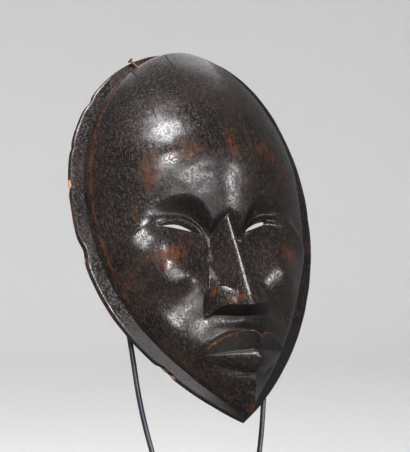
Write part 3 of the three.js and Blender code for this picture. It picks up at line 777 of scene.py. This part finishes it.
# Nail: driven into the step of the rim near the crown; its profile gives height and radius
NAIL = Sizes(along=0.115, step=1.4, backward=0.25, sides=28, dent=0.07, dent_size=1.3)
NAIL_PROFILE = [
    (-5, 0.15), (-3.5, 0.6), (0, 0.7), (5.7, 0.68), (6.1, 0.8), (6.2, 1.5), (6.35, 1.75), (6.65, 1.8),
    (6.9, 1.65), (7.05, 1.25), (7.1, 0.6),
]
NAIL_HOLE = Sizes(radius=1.0, depth=10.3, middle=-0.15, sides=16)


def nail_axes():
    edge_x, edge_z = outline_point(ARRIS, np.array(NAIL.along))
    next_x, next_z = outline_point(ARRIS, np.array(NAIL.along + 0.01))
    outward = Vector((-(edge_z - next_z), 0, next_x - edge_x)).normalized()
    direction = Vector((outward.x, NAIL.backward, outward.z)).normalized()
    depth = arris_depth(edge_z) - NAIL.step
    place = Vector((-edge_x, -depth, edge_z)) * MILLIMETRE
    return Matrix.Translation(place) @ direction.to_track_quat("Z", "Y").to_matrix().to_4x4()


def nail_hole_tool():
    bpy.ops.mesh.primitive_cylinder_add(vertices=NAIL_HOLE.sides, radius=NAIL_HOLE.radius * MILLIMETRE,
                                        depth=NAIL_HOLE.depth * MILLIMETRE)
    tool = start_piece("nail_hole_tool")
    tool.data.transform(nail_axes() @ Matrix.Translation((0, 0, NAIL_HOLE.middle * MILLIMETRE)))
    return tool


def nail_piece():
    """A hand-made nail: a tapered shank and a slightly dished head, both a little out of true."""
    (start, radius), *rest = NAIL_PROFILE
    bpy.ops.mesh.primitive_circle_add(vertices=NAIL.sides, radius=radius * MILLIMETRE, fill_type="TRIFAN",
                                      location=(0, 0, start * MILLIMETRE))
    piece = start_piece("old_nail")
    bpy.ops.object.transform_apply(location=True)
    select_open_edge(piece)
    edit_mode()
    for height, next_radius in rest:
        extrude_up((height - start) * MILLIMETRE)
        widen(next_radius / radius, height * MILLIMETRE)
        start, radius = height, next_radius
    bpy.ops.mesh.edge_face_add()
    turn_faces_outwards()
    points = points_of(piece) / MILLIMETRE
    dent = 1 + NAIL.dent * noise_at(*points.T, NAIL.dent_size)
    points[:, :2] *= dent[:, None]
    put_points(piece, points * MILLIMETRE)
    piece.data.transform(mask_to_world() @ nail_axes())
    return piece


def mask_to_world():
    return Matrix.Translation(MASK_CENTRE) @ Matrix.Rotation(-LEAN, 4, "X")


# Wear, dust, painted highlight and painted shade, each from 0 to 1 at every point: middle x, middle z, reach
# across, reach up, strength
RUBBED_SPOTS = [
    (-43, 30, 9, 13, 0.75), (-25, 40, 14, 9, 0.7), (-8, 36, 8, 8, 0.35), (4, 44, 5, 13, 0.75),
    (28, 40, 16, 10, 0.65), (44, 32, 9, 14, 0.6), (-38, -20, 14, 8, 0.9), (-28, -16, 5, 9, 0.6),
    (-40, -27, 6, 5, 0.8), (43, -21, 9, 9, 0.8), (-16.4, -47, 3.5, 4, 0.85), (-8, -54.5, 6, 3, 0.8),
    (3.6, -54, 4, 4, 1.0), (-20, 62, 22, 14, 0.3), (20, 66, 14, 18, 0.35), (-50, 56, 12, 24, 0.35),
    (-52, 10, 7, 14, 0.5), (-14, -99, 12, 7, 0.35), (-30, -80, 9, 9, 0.35), (0, -40, 5, 14, 0.35),
    (0, -116, 5, 2.5, 1.0), (-56, -30, 6, 10, 0.5), (8, 100, 30, 8, 0.3),
]
# Dust; the thin spot on the chin's keel is a painted highlight
DUST_AND_HIGHLIGHT_SPOTS = [
    (-11.2, -14, 1.5, 12, 0.75), (-12.6, -33, 1.5, 10, 0.75), (-32.2, -53.7, 5, 4.5, 0.7),
    (-22, -64, 6, 4, 0.5), (-24, -59, 5, 4, 0.45), (0.6, -107, 0.7, 6, 0.6), (22, -60, 5, 4, 0.4),
    (-21, 6, 12, 2, 0.3), (24, 6, 12, 2, 0.3),
]
# Painted shade in the recesses: above the upper lip, at the nose's root, under the brows, under the lower lip
# and beside the nose's wings
PAINTED_SHADE_SPOTS = [
    (0, -70.5, 21, 5.5, 1.0), (-9, -2, 6, 8, 0.8), (-26, 9, 17, 5, 0.8), (24, 8, 14, 4, 0.5),
    (0, -98.5, 17, 3, 0.6), (-24, -49, 9, 8, 0.5), (26, -49, 10, 7, 0.5),
]
# Fresh chips in the left edge: height up the mask, reach, strength
CHIPS = [(-4.7, 6.5, 1), (91.5, 2.5, 0.7), (-82, 3, 0.8), (-86.5, 3, 0.8), (38, 4, 0.7)]
# Shares along lines: wear on the arris, wear and a painted highlight on the lip's edge, wear on the outer
# edge, and painted shade in the slits
ARRIS_WEAR = Sizes(high=0.85, low=0.45, high_z=10, low_z=-60, inwards=0.25, reach=0.85, below=2)
LIP_WEAR = Sizes(below=0.3, reach=1.3, fade=5, rubbed=1.1, dusty=0.5)
EDGE_RUB = Sizes(reach=1.2, below=1, rubbed=0.55, chipped=1.6)
SLIT_SHADE = Sizes(near=0.12, end=0.05, past=0.1, strength=0.8)
# Where painted shade darkens the wood: under the nose, on the upper lip's facet and low on the band
PAINTED_SHADE_SIZES = Sizes(
    nose_from=22, nose_to=19, base_below=0.2, foot_below=1.5,
    facet=0.9, arris_below=0.9, parting_below=0.4,
    band=0.95, band_z=-45, band_full_z=-65, band_from=0.5, band_full=2,
)
SLOPE_STEP = 0.2
# Points this far behind the carved front, and this far inside the arris, belong to the hollow
HOLLOW_SIDE = Sizes(behind=1.8, inside_arris=1.5)


def spread(spots, x, z):
    share = np.zeros_like(x)
    for middle_x, middle_z, across, up, strength in spots:
        share = np.maximum(share, strength * bump(x - middle_x, across) * bump(z - middle_z, up))
    return share


def from_arris(x, z):
    """Distance outside the arris line, along the surface's plan."""
    rise = half_width_at(ARRIS, z + SLOPE_STEP) - half_width_at(ARRIS, z - SLOPE_STEP)
    slope = rise / (2 * SLOPE_STEP)
    return (np.abs(x) - half_width_at(ARRIS, z)) / np.sqrt(1 + slope * slope)


def lip_edge_share(x, z):
    """1 along the upper lip's edge, fading before its corners."""
    off = z - lip_shift(x) - upper_arris(on_lips(x)) - LIP_WEAR.below
    return bump(off, LIP_WEAR.reach) * (1 - ease(LIPS.half_width - LIP_WEAR.fade, LIPS.half_width, np.abs(x)))


def rubbed_share(x, z, depth):
    front = depth > arris_depth(z) - ARRIS_WEAR.below
    strength = mix(ARRIS_WEAR.high, ARRIS_WEAR.low, ease(ARRIS_WEAR.high_z, ARRIS_WEAR.low_z, z))
    arris = strength * bump(from_arris(x, z) + ARRIS_WEAR.inwards, ARRIS_WEAR.reach)
    lip = LIP_WEAR.rubbed * lip_edge_share(x, z)
    return np.where(front, np.maximum.reduce([spread(RUBBED_SPOTS, x, z), arris, lip]), 0)


def painted_shade_share(x, z):
    """Painted shade, dark and matt: under the nose, on the upper lip's facet, low on the band and in the
    recesses.
    """
    under_nose = ease(-PAINTED_SHADE_SIZES.nose_from, -PAINTED_SHADE_SIZES.nose_to, -np.abs(x)) \
        * (z < nose_base(x) - PAINTED_SHADE_SIZES.base_below) * (z > nose_foot(x) - PAINTED_SHADE_SIZES.foot_below)
    lip_z, here = z - lip_shift(x), on_lips(x)
    facet = PAINTED_SHADE_SIZES.facet * (lip_z < upper_arris(here) - PAINTED_SHADE_SIZES.arris_below) \
        * (lip_z > lip_parting(here) - PAINTED_SHADE_SIZES.parting_below) * (np.abs(x) < LIPS.half_width)
    low_band = PAINTED_SHADE_SIZES.band * ease(PAINTED_SHADE_SIZES.band_z, PAINTED_SHADE_SIZES.band_full_z, z) \
        * ease(PAINTED_SHADE_SIZES.band_from, PAINTED_SHADE_SIZES.band_full, from_arris(x, z))
    return np.maximum.reduce([spread(PAINTED_SHADE_SPOTS, x, z), under_nose, facet, low_band])


def slit_shade_share(x, z):
    """Painted shade on the walls of the eye slits, and 0 elsewhere."""
    share = np.zeros_like(x)
    for side, ends in ((-1, SLIT), (1, SHORT_SLIT)):
        along = side * x
        off = np.minimum(np.abs(z - arched(ends, along)), np.abs(z - slit_low(ends, along)))
        wall = (off < SLIT_SHADE.near) | (np.abs(along - ends.outer_x) < SLIT_SHADE.end)
        within = (along > ends.inner_x - SLIT_SHADE.past) & (along < ends.outer_x + SLIT_SHADE.past)
        share = np.where(within & wall, SLIT_SHADE.strength, share)
    return share


def edge_share(x, z, depth):
    """1 on the thin outer edge of the band."""
    gap = from_ray_start(*facing_edge(x, z)) - from_ray_start(x, z)
    return bump(gap, EDGE_RUB.reach) * (depth > rim_depth(z) - EDGE_RUB.below)


def bare_share(x, z, edge):
    """Fresh chips in the outer edge that show the raw wood."""
    chips = np.maximum.reduce([strength * bump(z - chip_z, reach) for chip_z, reach, strength in CHIPS])
    return np.where(x < 0, clamp(EDGE_RUB.chipped * edge) * chips, 0)


def add_share(piece, name, values):
    layer = piece.data.attributes.new(name, "FLOAT", "POINT")
    layer.data.foreach_set("value", clamp(values).astype(np.float32))


def tag_wear_and_painted_light(piece):
    points = points_of(piece) / MILLIMETRE
    x, z, depth = points[:, 0], points[:, 2], -points[:, 1]
    edge = edge_share(x, z, depth)
    inside = depth < front_depth(x, z) - HOLLOW_SIDE.behind
    behind = inside & (from_arris(x, z) < -HOLLOW_SIDE.inside_arris)
    # Besides dust, the second share holds painted highlights; the third share is painted shade in the
    # recesses and the slits
    on_front = {
        "rubbed": np.maximum(rubbed_share(x, z, depth), EDGE_RUB.rubbed * edge),
        "dusty": np.maximum(spread(DUST_AND_HIGHLIGHT_SPOTS, x, z), LIP_WEAR.dusty * lip_edge_share(x, z)),
        "painted_shade": np.maximum(painted_shade_share(x, z), slit_shade_share(x, z)),
    }
    for name, share in on_front.items():
        add_share(piece, name, np.where(behind, 0, share))
    add_share(piece, "bare", bare_share(x, z, edge))
    add_share(piece, "inside", behind)


def mask_piece():
    piece = mask_blank()
    for tool in (hollow_tool(), slit_tool(-1, SLIT), slit_tool(1, SHORT_SLIT), nail_hole_tool()):
        cut(piece, tool)
    piece.data.attributes.remove(piece.data.attributes["tag"])
    tag_wear_and_painted_light(piece)
    piece.data.transform(mask_to_world())
    return piece


# Stand rods, from the mask's centre: x out to the side, y back, z up
ROD_CURVE = [
    (12.2, -29.2, -196), (20, -24.6, -176), (29, -18.6, -150), (36, -13.6, -124.5), (41.5, -7.8, -95),
    (44.7, -3, -65.6), (48, 2.5, -35), (54, 8, -2), (53, 14, 38),
]
ROD_RADIUS = 1.6
ROD_BELOW_CURVE = 10
ROD_STEPS = Sizes(round=5, between_knots=10)
ROD_TIP = Sizes(along=0.18, out=0.82)
GAP = 0.3


def rod_points(side):
    x, z, depth = hollow_place(np.array([ROD_TIP.along]), np.array([side]), ROD_TIP.out)
    tip = Vector((float(x[0]), -float(depth[0]), float(z[0])))
    gap = ROD_RADIUS + GAP
    end = Matrix.Rotation(-LEAN, 3, "X") @ (tip + Vector((0, gap, -gap)))
    points = [Vector((side * x, y, z)) for x, y, z in ROD_CURVE]
    socket = points[0] + (points[0] - points[1]).normalized() * ROD_BELOW_CURVE
    return [MASK_CENTRE + point * MILLIMETRE for point in (socket, *points, end)]


def rod_piece(name, side, radius):
    """A round steel rod bent along the points of its path, with closed ends."""
    path = bpy.data.curves.new(name, "CURVE")
    path.dimensions = "3D"
    path.bevel_depth = radius * MILLIMETRE
    path.bevel_resolution = ROD_STEPS.round
    path.resolution_u = ROD_STEPS.between_knots
    path.use_fill_caps = True
    spline = path.splines.new("BEZIER")
    points = rod_points(side)
    spline.bezier_points.add(len(points) - 1)
    for knot, point in zip(spline.bezier_points, points):
        knot.co = point
        knot.handle_left_type = knot.handle_right_type = "AUTO"
    rod = bpy.data.objects.new(name, path)
    bpy.context.scene.collection.objects.link(rod)
    select_only(rod)
    bpy.ops.object.convert(target="MESH")
    rod = start_piece(name)
    merge_doubles()
    turn_faces_outwards()
    return rod


FOOT = Sizes(width=120, length=104, thickness=10, corner=3, corner_steps=6, edge=0.7, edge_steps=3)


def foot_piece():
    """A steel plate with rounded corners, a small bevel all round and a socket for each rod."""
    bpy.ops.mesh.primitive_cube_add(size=1)
    piece = start_piece("steel_foot")
    size = [length * MILLIMETRE for length in (FOOT.width, FOOT.length, FOOT.thickness)]
    piece.data.transform(Matrix.Translation((0, 0, size[2] / 2)) @ Matrix.Diagonal((*size, 1)))
    select_only(piece)
    edit_mode()
    bpy.ops.mesh.select_mode(type="EDGE")
    bpy.ops.mesh.select_all(action="DESELECT")
    object_mode()
    for edge in piece.data.edges:
        low, high = (piece.data.vertices[i].co for i in edge.vertices)
        edge.select = abs(low.z - high.z) > size[2] / 2
    edit_mode()
    bpy.ops.mesh.bevel(offset=FOOT.corner * MILLIMETRE, segments=FOOT.corner_steps)
    bpy.ops.mesh.select_mode(type="FACE")
    bpy.ops.mesh.select_all(action="DESELECT")
    object_mode()
    for face in piece.data.polygons:
        face.select = abs(face.normal.z) > 0.9
    edit_mode()
    bpy.ops.mesh.bevel(offset=FOOT.edge * MILLIMETRE, segments=FOOT.edge_steps)
    object_mode()
    for side in (-1, 1):
        cut(piece, rod_piece("socket_tool", side, ROD_RADIUS + GAP))
    return piece


# Finishes
class Recipe:
    """A material's nodes, added one by one with their values, and joined by name."""

    def __init__(self, name):
        self.material = bpy.data.materials.new(name)
        self.material.use_nodes = True
        self.nodes = self.material.node_tree.nodes
        self.links = self.material.node_tree.links
        self.surface = self.nodes["Principled BSDF"]

    def add(self, kind, inputs=None, **settings):
        node = self.nodes.new("ShaderNode" + kind)
        for name, value in settings.items():
            setattr(node, name, value)
        for key, value in (inputs or {}).items():
            self.feed(node.inputs[key], value)
        return node

    def feed(self, socket, value):
        if isinstance(value, bpy.types.NodeSocket):
            self.links.new(value, socket)
        else:
            socket.default_value = value

    def sum(self, kind, first, second=0.0, third=0.0):
        return self.add("Math", {0: first, 1: second, 2: third}, operation=kind).outputs[0]

    def blend(self, share, first, second):
        node = self.add("Mix", data_type="RGBA")
        self.feed(node.inputs["Factor"], share)
        self.feed(node.inputs[6], first)
        self.feed(node.inputs[7], second)
        return node.outputs[2]

    def between(self, value, low, high, start=0.0, end=1.0):
        ends = {"Value": value, "From Min": low, "From Max": high, "To Min": start, "To Max": end}
        return self.add("MapRange", ends, interpolation_type="SMOOTHSTEP").outputs["Result"]

    def noise(self, where, scale, detail=3.0, roughness=0.55):
        grain = {"Vector": where, "Scale": scale, "Detail": detail, "Roughness": roughness}
        return self.add("TexNoise", grain).outputs[0]

    def swing(self, value, amount):
        """Noise brought from 0 to 1 to either side of 0."""
        return self.sum("MULTIPLY", self.sum("SUBTRACT", value, 0.5), amount)

    def share(self, name):
        return self.add("Attribute", attribute_name=name).outputs["Fac"]

    def place(self):
        return self.add("TexCoord").outputs["Object"]

    def stretched(self, where, scale, **more):
        return self.add("Mapping", {"Vector": where, "Scale": scale, **more}).outputs[0]

    def dress(self, colour, rough, height, distance, strength):
        """Joins colour, roughness and relief to the surface; the relief's distance is in metres."""
        relief = self.add("Bump", {"Height": height, "Distance": distance, "Strength": strength})
        for name, value in (("Base Color", colour), ("Roughness", rough), ("Normal", relief.outputs[0])):
            self.feed(self.surface.inputs[name], value)


PER_METRE = (1000, 1000, 1000)


def mask_place(recipe):
    """Object coordinates turned to the mask's own axes, in millimetres."""
    middle = Matrix.Rotation(LEAN, 4, "X") @ (MASK_CENTRE / MILLIMETRE)
    return recipe.stretched(recipe.place(), PER_METRE, Location=-middle, Rotation=(LEAN, 0, 0))


# Cracks run down the forehead: for each, its points from the top (x, z), its half-width and its strength
CRACKS = [
    ([(-34.3, 112), (-34.7, 92.8), (-35.6, 76.6), (-35.6, 66.7), (-35.2, 56)], 0.62, 1.0),
    ([(-11.9, 121), (-12, 91.9), (-11.8, 81), (-10.8, 71.6), (-10.2, 61.3), (-9.5, 54.5), (-10, 38)],
     0.6, 1.0),
    ([(-7.7, 92.5), (-2.1, 89.8), (3.2, 86.4), (4.5, 75.9), (6.3, 67.8), (5.3, 58.4), (5, 47.6), (3.9, 15)],
     0.45, 0.45),
    ([(23.6, 107), (19.3, 85.6), (19.4, 72.5), (19.9, 62.1), (20.1, 39.3), (20.6, 27.5), (17.9, 15)],
     0.45, 0.35),
]
CRACK = Sizes(reach=40, core=0.1, fade_up=14, wander=2.2)


def crack(recipe, x, z, wander, points, half_width, strength):
    """1 in the middle of a crack, fading to 0 at its edges and towards its lower end."""
    heights = [point[1] for point in points]
    low, high, reach = min(heights), max(heights), CRACK.reach
    middle = sum(point[0] for point in points) / len(points)
    down = recipe.add("MapRange", {"Value": z, "From Min": low, "From Max": high}).outputs["Result"]
    curve = recipe.add("FloatCurve", {"Value": down})
    line = curve.mapping.curves[0]
    for place, (point_x, point_z) in zip(line.points, (points[-1], points[0])):
        place.location = ((point_z - low) / (high - low), (point_x - middle) / reach + 0.5)
    for point_x, point_z in points[1:-1]:
        line.points.new((point_z - low) / (high - low), (point_x - middle) / reach + 0.5)
    curve.mapping.update()
    path = recipe.sum("MULTIPLY_ADD", curve.outputs[0], reach, middle - reach / 2)
    off = recipe.sum("ABSOLUTE", recipe.sum("ADD", recipe.sum("SUBTRACT", x, path), wander))
    thin = recipe.between(off, half_width, CRACK.core * half_width)
    bottom = recipe.between(z, low, low + CRACK.fade_up)
    return recipe.sum("MULTIPLY", thin, recipe.sum("MULTIPLY", bottom, strength))


# Colours of the mask's wood, from the patina to the raw wood of a chip
PATINA, PATINA_PALE = (0.0045, 0.0037, 0.0035, 1), (0.0135, 0.0087, 0.0072, 1)
SPECK, PORE = (0.0245, 0.018, 0.0155, 1), (0.0015, 0.0012, 0.0012, 1)
WORN, WORN_PALE = (0.024, 0.0078, 0.004, 1), (0.078, 0.0245, 0.01, 1)
# A tan for dust and painted highlights, and a near black for painted shade
DUST_AND_HIGHLIGHT_TONE, PAINTED_SHADE_DARK, CRACK_DARK = (0.14, 0.108, 0.08, 1), (0.0022, 0.0019, 0.0019, 1), (0.002, 0.0015, 0.0015, 1)
CHIP, CHIP_PALE = (0.26, 0.12, 0.055, 1), (0.42, 0.24, 0.13, 1)
RAW, RAW_PALE, RAW_CLOUD = (0.045, 0.027, 0.018, 1), (0.125, 0.08, 0.052, 1), (0.05, 0.032, 0.023, 1)


def wood_cracks(wood, place):
    """1 in the cracks of the front, 0 elsewhere."""
    axes = wood.add("SeparateXYZ", {0: place})
    wander = wood.swing(wood.noise(place, 0.25), CRACK.wander)
    cracks = 0.0
    for points, half_width, strength in CRACKS:
        line = crack(wood, axes.outputs["X"], axes.outputs["Z"], wander, points, half_width, strength)
        cracks = wood.sum("MAXIMUM", cracks, line)
    return wood.sum("MULTIPLY", cracks, wood.between(wood.share("inside"), 0.5, 0.1))


def patinated_wood():
    """Black, oiled patina over red-brown wood, rubbed through on the high places, with painted shade in the
    recesses and slits, and painted highlights on the chin's keel and the upper lip's edge.
    """
    wood = Recipe("patinated_wood")
    place = mask_place(wood)
    cells = wood.noise(place, 0.75, 3.0, 0.6)
    pores = wood.noise(place, 1.2, 3.0, 0.6)
    specks = wood.noise(wood.stretched(place, (1, 1, 0.5)), 0.7, 4.0, 0.7)
    clouds = wood.noise(place, 0.05, 4.0, 0.6)
    blotches = wood.noise(place, 0.16, 3.0, 0.6)
    grain = wood.noise(wood.stretched(place, (0.9, 0.9, 0.05)), 1.0, 4.0, 0.65)
    broken = wood.sum("ADD", wood.swing(blotches, 1.5), wood.swing(cells, 0.9))
    broken = wood.sum("ADD", broken, wood.swing(grain, 0.6))
    rubbed = wood.between(wood.sum("ADD", wood.share("rubbed"), broken), 0.25, 1.15)
    rubbed = wood.sum("MULTIPLY", rubbed, wood.between(wood.share("rubbed"), 0.02, 0.45))
    dusty = wood.between(wood.sum("ADD", wood.share("dusty"), broken), 0.35, 0.9)
    dusty = wood.sum("MULTIPLY", dusty, wood.between(wood.share("dusty"), 0.03, 0.3))
    bare = wood.between(wood.sum("MULTIPLY_ADD", broken, 0.5, wood.share("bare")), 0.3, 0.5)
    skin = wood.between(cells, 0.3, 0.5)
    open_pores = wood.between(pores, 0.42, 0.3)
    cracks = wood_cracks(wood, place)
    patina = wood.blend(wood.between(clouds, 0.35, 0.7), PATINA, PATINA_PALE)
    patina = wood.blend(wood.between(specks, 0.48, 0.66), patina, SPECK)
    patina = wood.blend(open_pores, patina, PORE)
    worn = wood.blend(wood.between(grain, 0.35, 0.65), WORN, WORN_PALE)
    raw = wood.blend(wood.between(grain, 0.32, 0.68), RAW, RAW_PALE)
    raw = wood.blend(wood.between(clouds, 0.4, 0.65), raw, RAW_CLOUD)
    colour = wood.blend(rubbed, patina, worn)
    # Dust, and painted highlights on the chin's keel and the upper lip's edge
    colour = wood.blend(wood.sum("MULTIPLY", dusty, 0.7), colour, DUST_AND_HIGHLIGHT_TONE)
    colour = wood.blend(bare, colour, wood.blend(grain, CHIP, CHIP_PALE))
    colour = wood.blend(wood.sum("MULTIPLY", wood.share("inside"), 0.9), colour, raw)
    colour = wood.blend(cracks, colour, CRACK_DARK)
    # Painted shade: under the nose, on the upper lip's facet, low on the band, in the recesses and in the eye
    # slits
    colour = wood.blend(wood.sum("MULTIPLY", wood.share("painted_shade"), 0.55), colour, PAINTED_SHADE_DARK)
    rough = wood.sum("MULTIPLY_ADD", skin, -0.12, 0.3)
    rough = wood.sum("MULTIPLY_ADD", open_pores, 0.2, rough)
    rough = wood.sum("MULTIPLY_ADD", rubbed, -0.05, rough)
    rough = wood.sum("MAXIMUM", rough, wood.sum("MULTIPLY", wood.sum("MAXIMUM", dusty, bare), 0.75))
    rough = wood.sum("MAXIMUM", rough, wood.sum("MULTIPLY", wood.share("inside"), 0.65))
    rough = wood.sum("MULTIPLY_ADD", wood.share("painted_shade"), 0.28, rough)
    rough = wood.sum("MAXIMUM", rough, cracks)
    height = wood.sum("MULTIPLY_ADD", open_pores, -0.45, wood.sum("MULTIPLY", skin, 0.35))
    height = wood.sum("MULTIPLY_ADD", grain, 0.3, height)
    wood.dress(colour, rough, height, 0.0002, 0.7)
    wood.surface.inputs["Specular IOR Level"].default_value = 0.3
    return wood.material


def rusted_iron():
    iron = Recipe("rusted_iron")
    flakes = iron.noise(iron.stretched(iron.place(), PER_METRE), 1.6, 4.0, 0.65)
    colour = iron.blend(iron.between(flakes, 0.4, 0.62), (0.05, 0.035, 0.028, 1), (0.19, 0.085, 0.04, 1))
    iron.dress(colour, iron.between(flakes, 0.3, 0.7, 0.42, 0.8), flakes, 0.00015, 0.9)
    iron.surface.inputs["Metallic"].default_value = 0.35
    return iron.material


def painted_steel(name, dark, light, smooth):
    """Satin paint on steel, slightly uneven, with the colour shifting in faint patches."""
    steel = Recipe(name)
    place = steel.stretched(steel.place(), PER_METRE)
    patches = steel.noise(place, 0.08, 3.0, 0.5)
    orange_peel = steel.noise(place, 1.4, 2.0, 0.5)
    colour = steel.blend(steel.between(patches, 0.35, 0.65), dark, light)
    rough = steel.between(orange_peel, 0.2, 0.8, smooth, smooth + 0.12)
    steel.dress(colour, rough, orange_peel, 0.00008, 0.6)
    return steel.material


def pale_paper():
    paper = Recipe("pale_paper")
    colour = paper.blend(paper.noise(paper.place(), 3.0), (0.70, 0.70, 0.70, 1), (0.72, 0.72, 0.72, 1))
    paper.feed(paper.surface.inputs["Base Color"], colour)
    paper.surface.inputs["Roughness"].default_value = 0.9
    paper.surface.inputs["Specular IOR Level"].default_value = 0.1
    return paper.material


# A round pale sweep, in metres: flat under the object, curving up all round well beyond every camera
SWEEP = Sizes(radius=2.4, curve=0.8, wall=1.6, sides=96, steps=10)


def sweep():
    bpy.ops.mesh.primitive_circle_add(vertices=SWEEP.sides, radius=SWEEP.radius, fill_type="NGON")
    floor = start_piece("floor")
    select_open_edge(floor)
    edit_mode()
    radius, height = SWEEP.radius, 0.0
    for i in range(1, SWEEP.steps + 1):
        turn = i / SWEEP.steps * math.pi / 2
        next_radius = SWEEP.radius + SWEEP.curve * math.sin(turn)
        next_height = SWEEP.curve * (1 - math.cos(turn))
        extrude_up(next_height - height)
        widen(next_radius / radius, next_height)
        radius, height = next_radius, next_height
    extrude_up(SWEEP.wall)
    object_mode()
    bpy.ops.object.shade_smooth()
    floor.data.materials.append(pale_paper())
    # Seen in the glossy wood, the pale floor would make the lower faces far too light
    floor.visible_glossy = False


def aim(thing, target):
    thing.rotation_euler = (target - thing.location).to_track_quat("-Z", "Y").to_euler()


def softbox(name, azimuth, elevation, distance, size, power, target=MASK_CENTRE):
    """A rectangular area light; azimuth 0 is straight in front of the mask and negative to its left."""
    light = bpy.data.lights.new(name, "AREA")
    light.shape = "RECTANGLE"
    light.size, light.size_y = size
    light.energy = power
    lamp = bpy.data.objects.new(name, light)
    bpy.context.scene.collection.objects.link(lamp)
    turn, up = math.radians(azimuth), math.radians(elevation)
    away = Vector((math.sin(turn) * math.cos(up), -math.cos(turn) * math.cos(up), math.sin(up)))
    lamp.location = target + away * distance
    aim(lamp, target)


def studio():
    world = bpy.data.worlds.new("studio")
    bpy.context.scene.world = world
    world.use_nodes = True
    sky = world.node_tree.nodes["Background"].inputs
    sky["Color"].default_value = (0.95, 0.97, 1.0, 1)
    sky["Strength"].default_value = 0.2
    bpy.context.scene.view_settings.view_transform = "Standard"
    softbox("key", -58, 61, 1.1, (0.36, 0.36), 18)
    softbox("front", -12, 10, 1.3, (0.75, 0.14), 10)
    softbox("side", -37, 22, 1.3, (0.22, 0.2), 10)
    softbox("right", 30, 9, 1.3, (0.35, 0.18), 7)
    softbox("behind", 165, 35, 1.6, (0.9, 0.9), 1)
    softbox("backdrop", 180, 60, 2.2, (2.5, 2.5), 29, Vector((0.6, 1.2, 0)))


VIEW = Sizes(azimuth=-25, distance=1.2, lens=155.8, aim_across=0.0047, aim_up=0.0117)


def camera():
    lens = bpy.data.cameras.new("camera")
    lens.lens = VIEW.lens
    view = bpy.data.objects.new("camera", lens)
    bpy.context.scene.collection.objects.link(view)
    turn = math.radians(VIEW.azimuth)
    across = Vector((math.cos(turn), math.sin(turn), 0))
    view.location = MASK_CENTRE + VIEW.distance * Vector((math.sin(turn), -math.cos(turn), 0))
    aim(view, MASK_CENTRE + across * VIEW.aim_across + Vector((0, 0, VIEW.aim_up)))
    bpy.context.scene.camera = view


camera()
studio()
sweep()
finish_piece(mask_piece(), "mask", patinated_wood(), 50)
finish_piece(nail_piece(), "nail", rusted_iron(), 40)
rod_paint = painted_steel("black_rod", (0.008, 0.012, 0.022, 1), (0.016, 0.022, 0.024, 1), 0.26)
finish_piece(rod_piece("rod_left", -1, ROD_RADIUS), "stand_rod_left", rod_paint, 40)
finish_piece(rod_piece("rod_right", 1, ROD_RADIUS), "stand_rod_right", rod_paint, 40)
plate_paint = painted_steel("black_plate", (0.01, 0.011, 0.013, 1), (0.018, 0.019, 0.021, 1), 0.42)
finish_piece(foot_piece(), "stand_foot", plate_paint, 40)
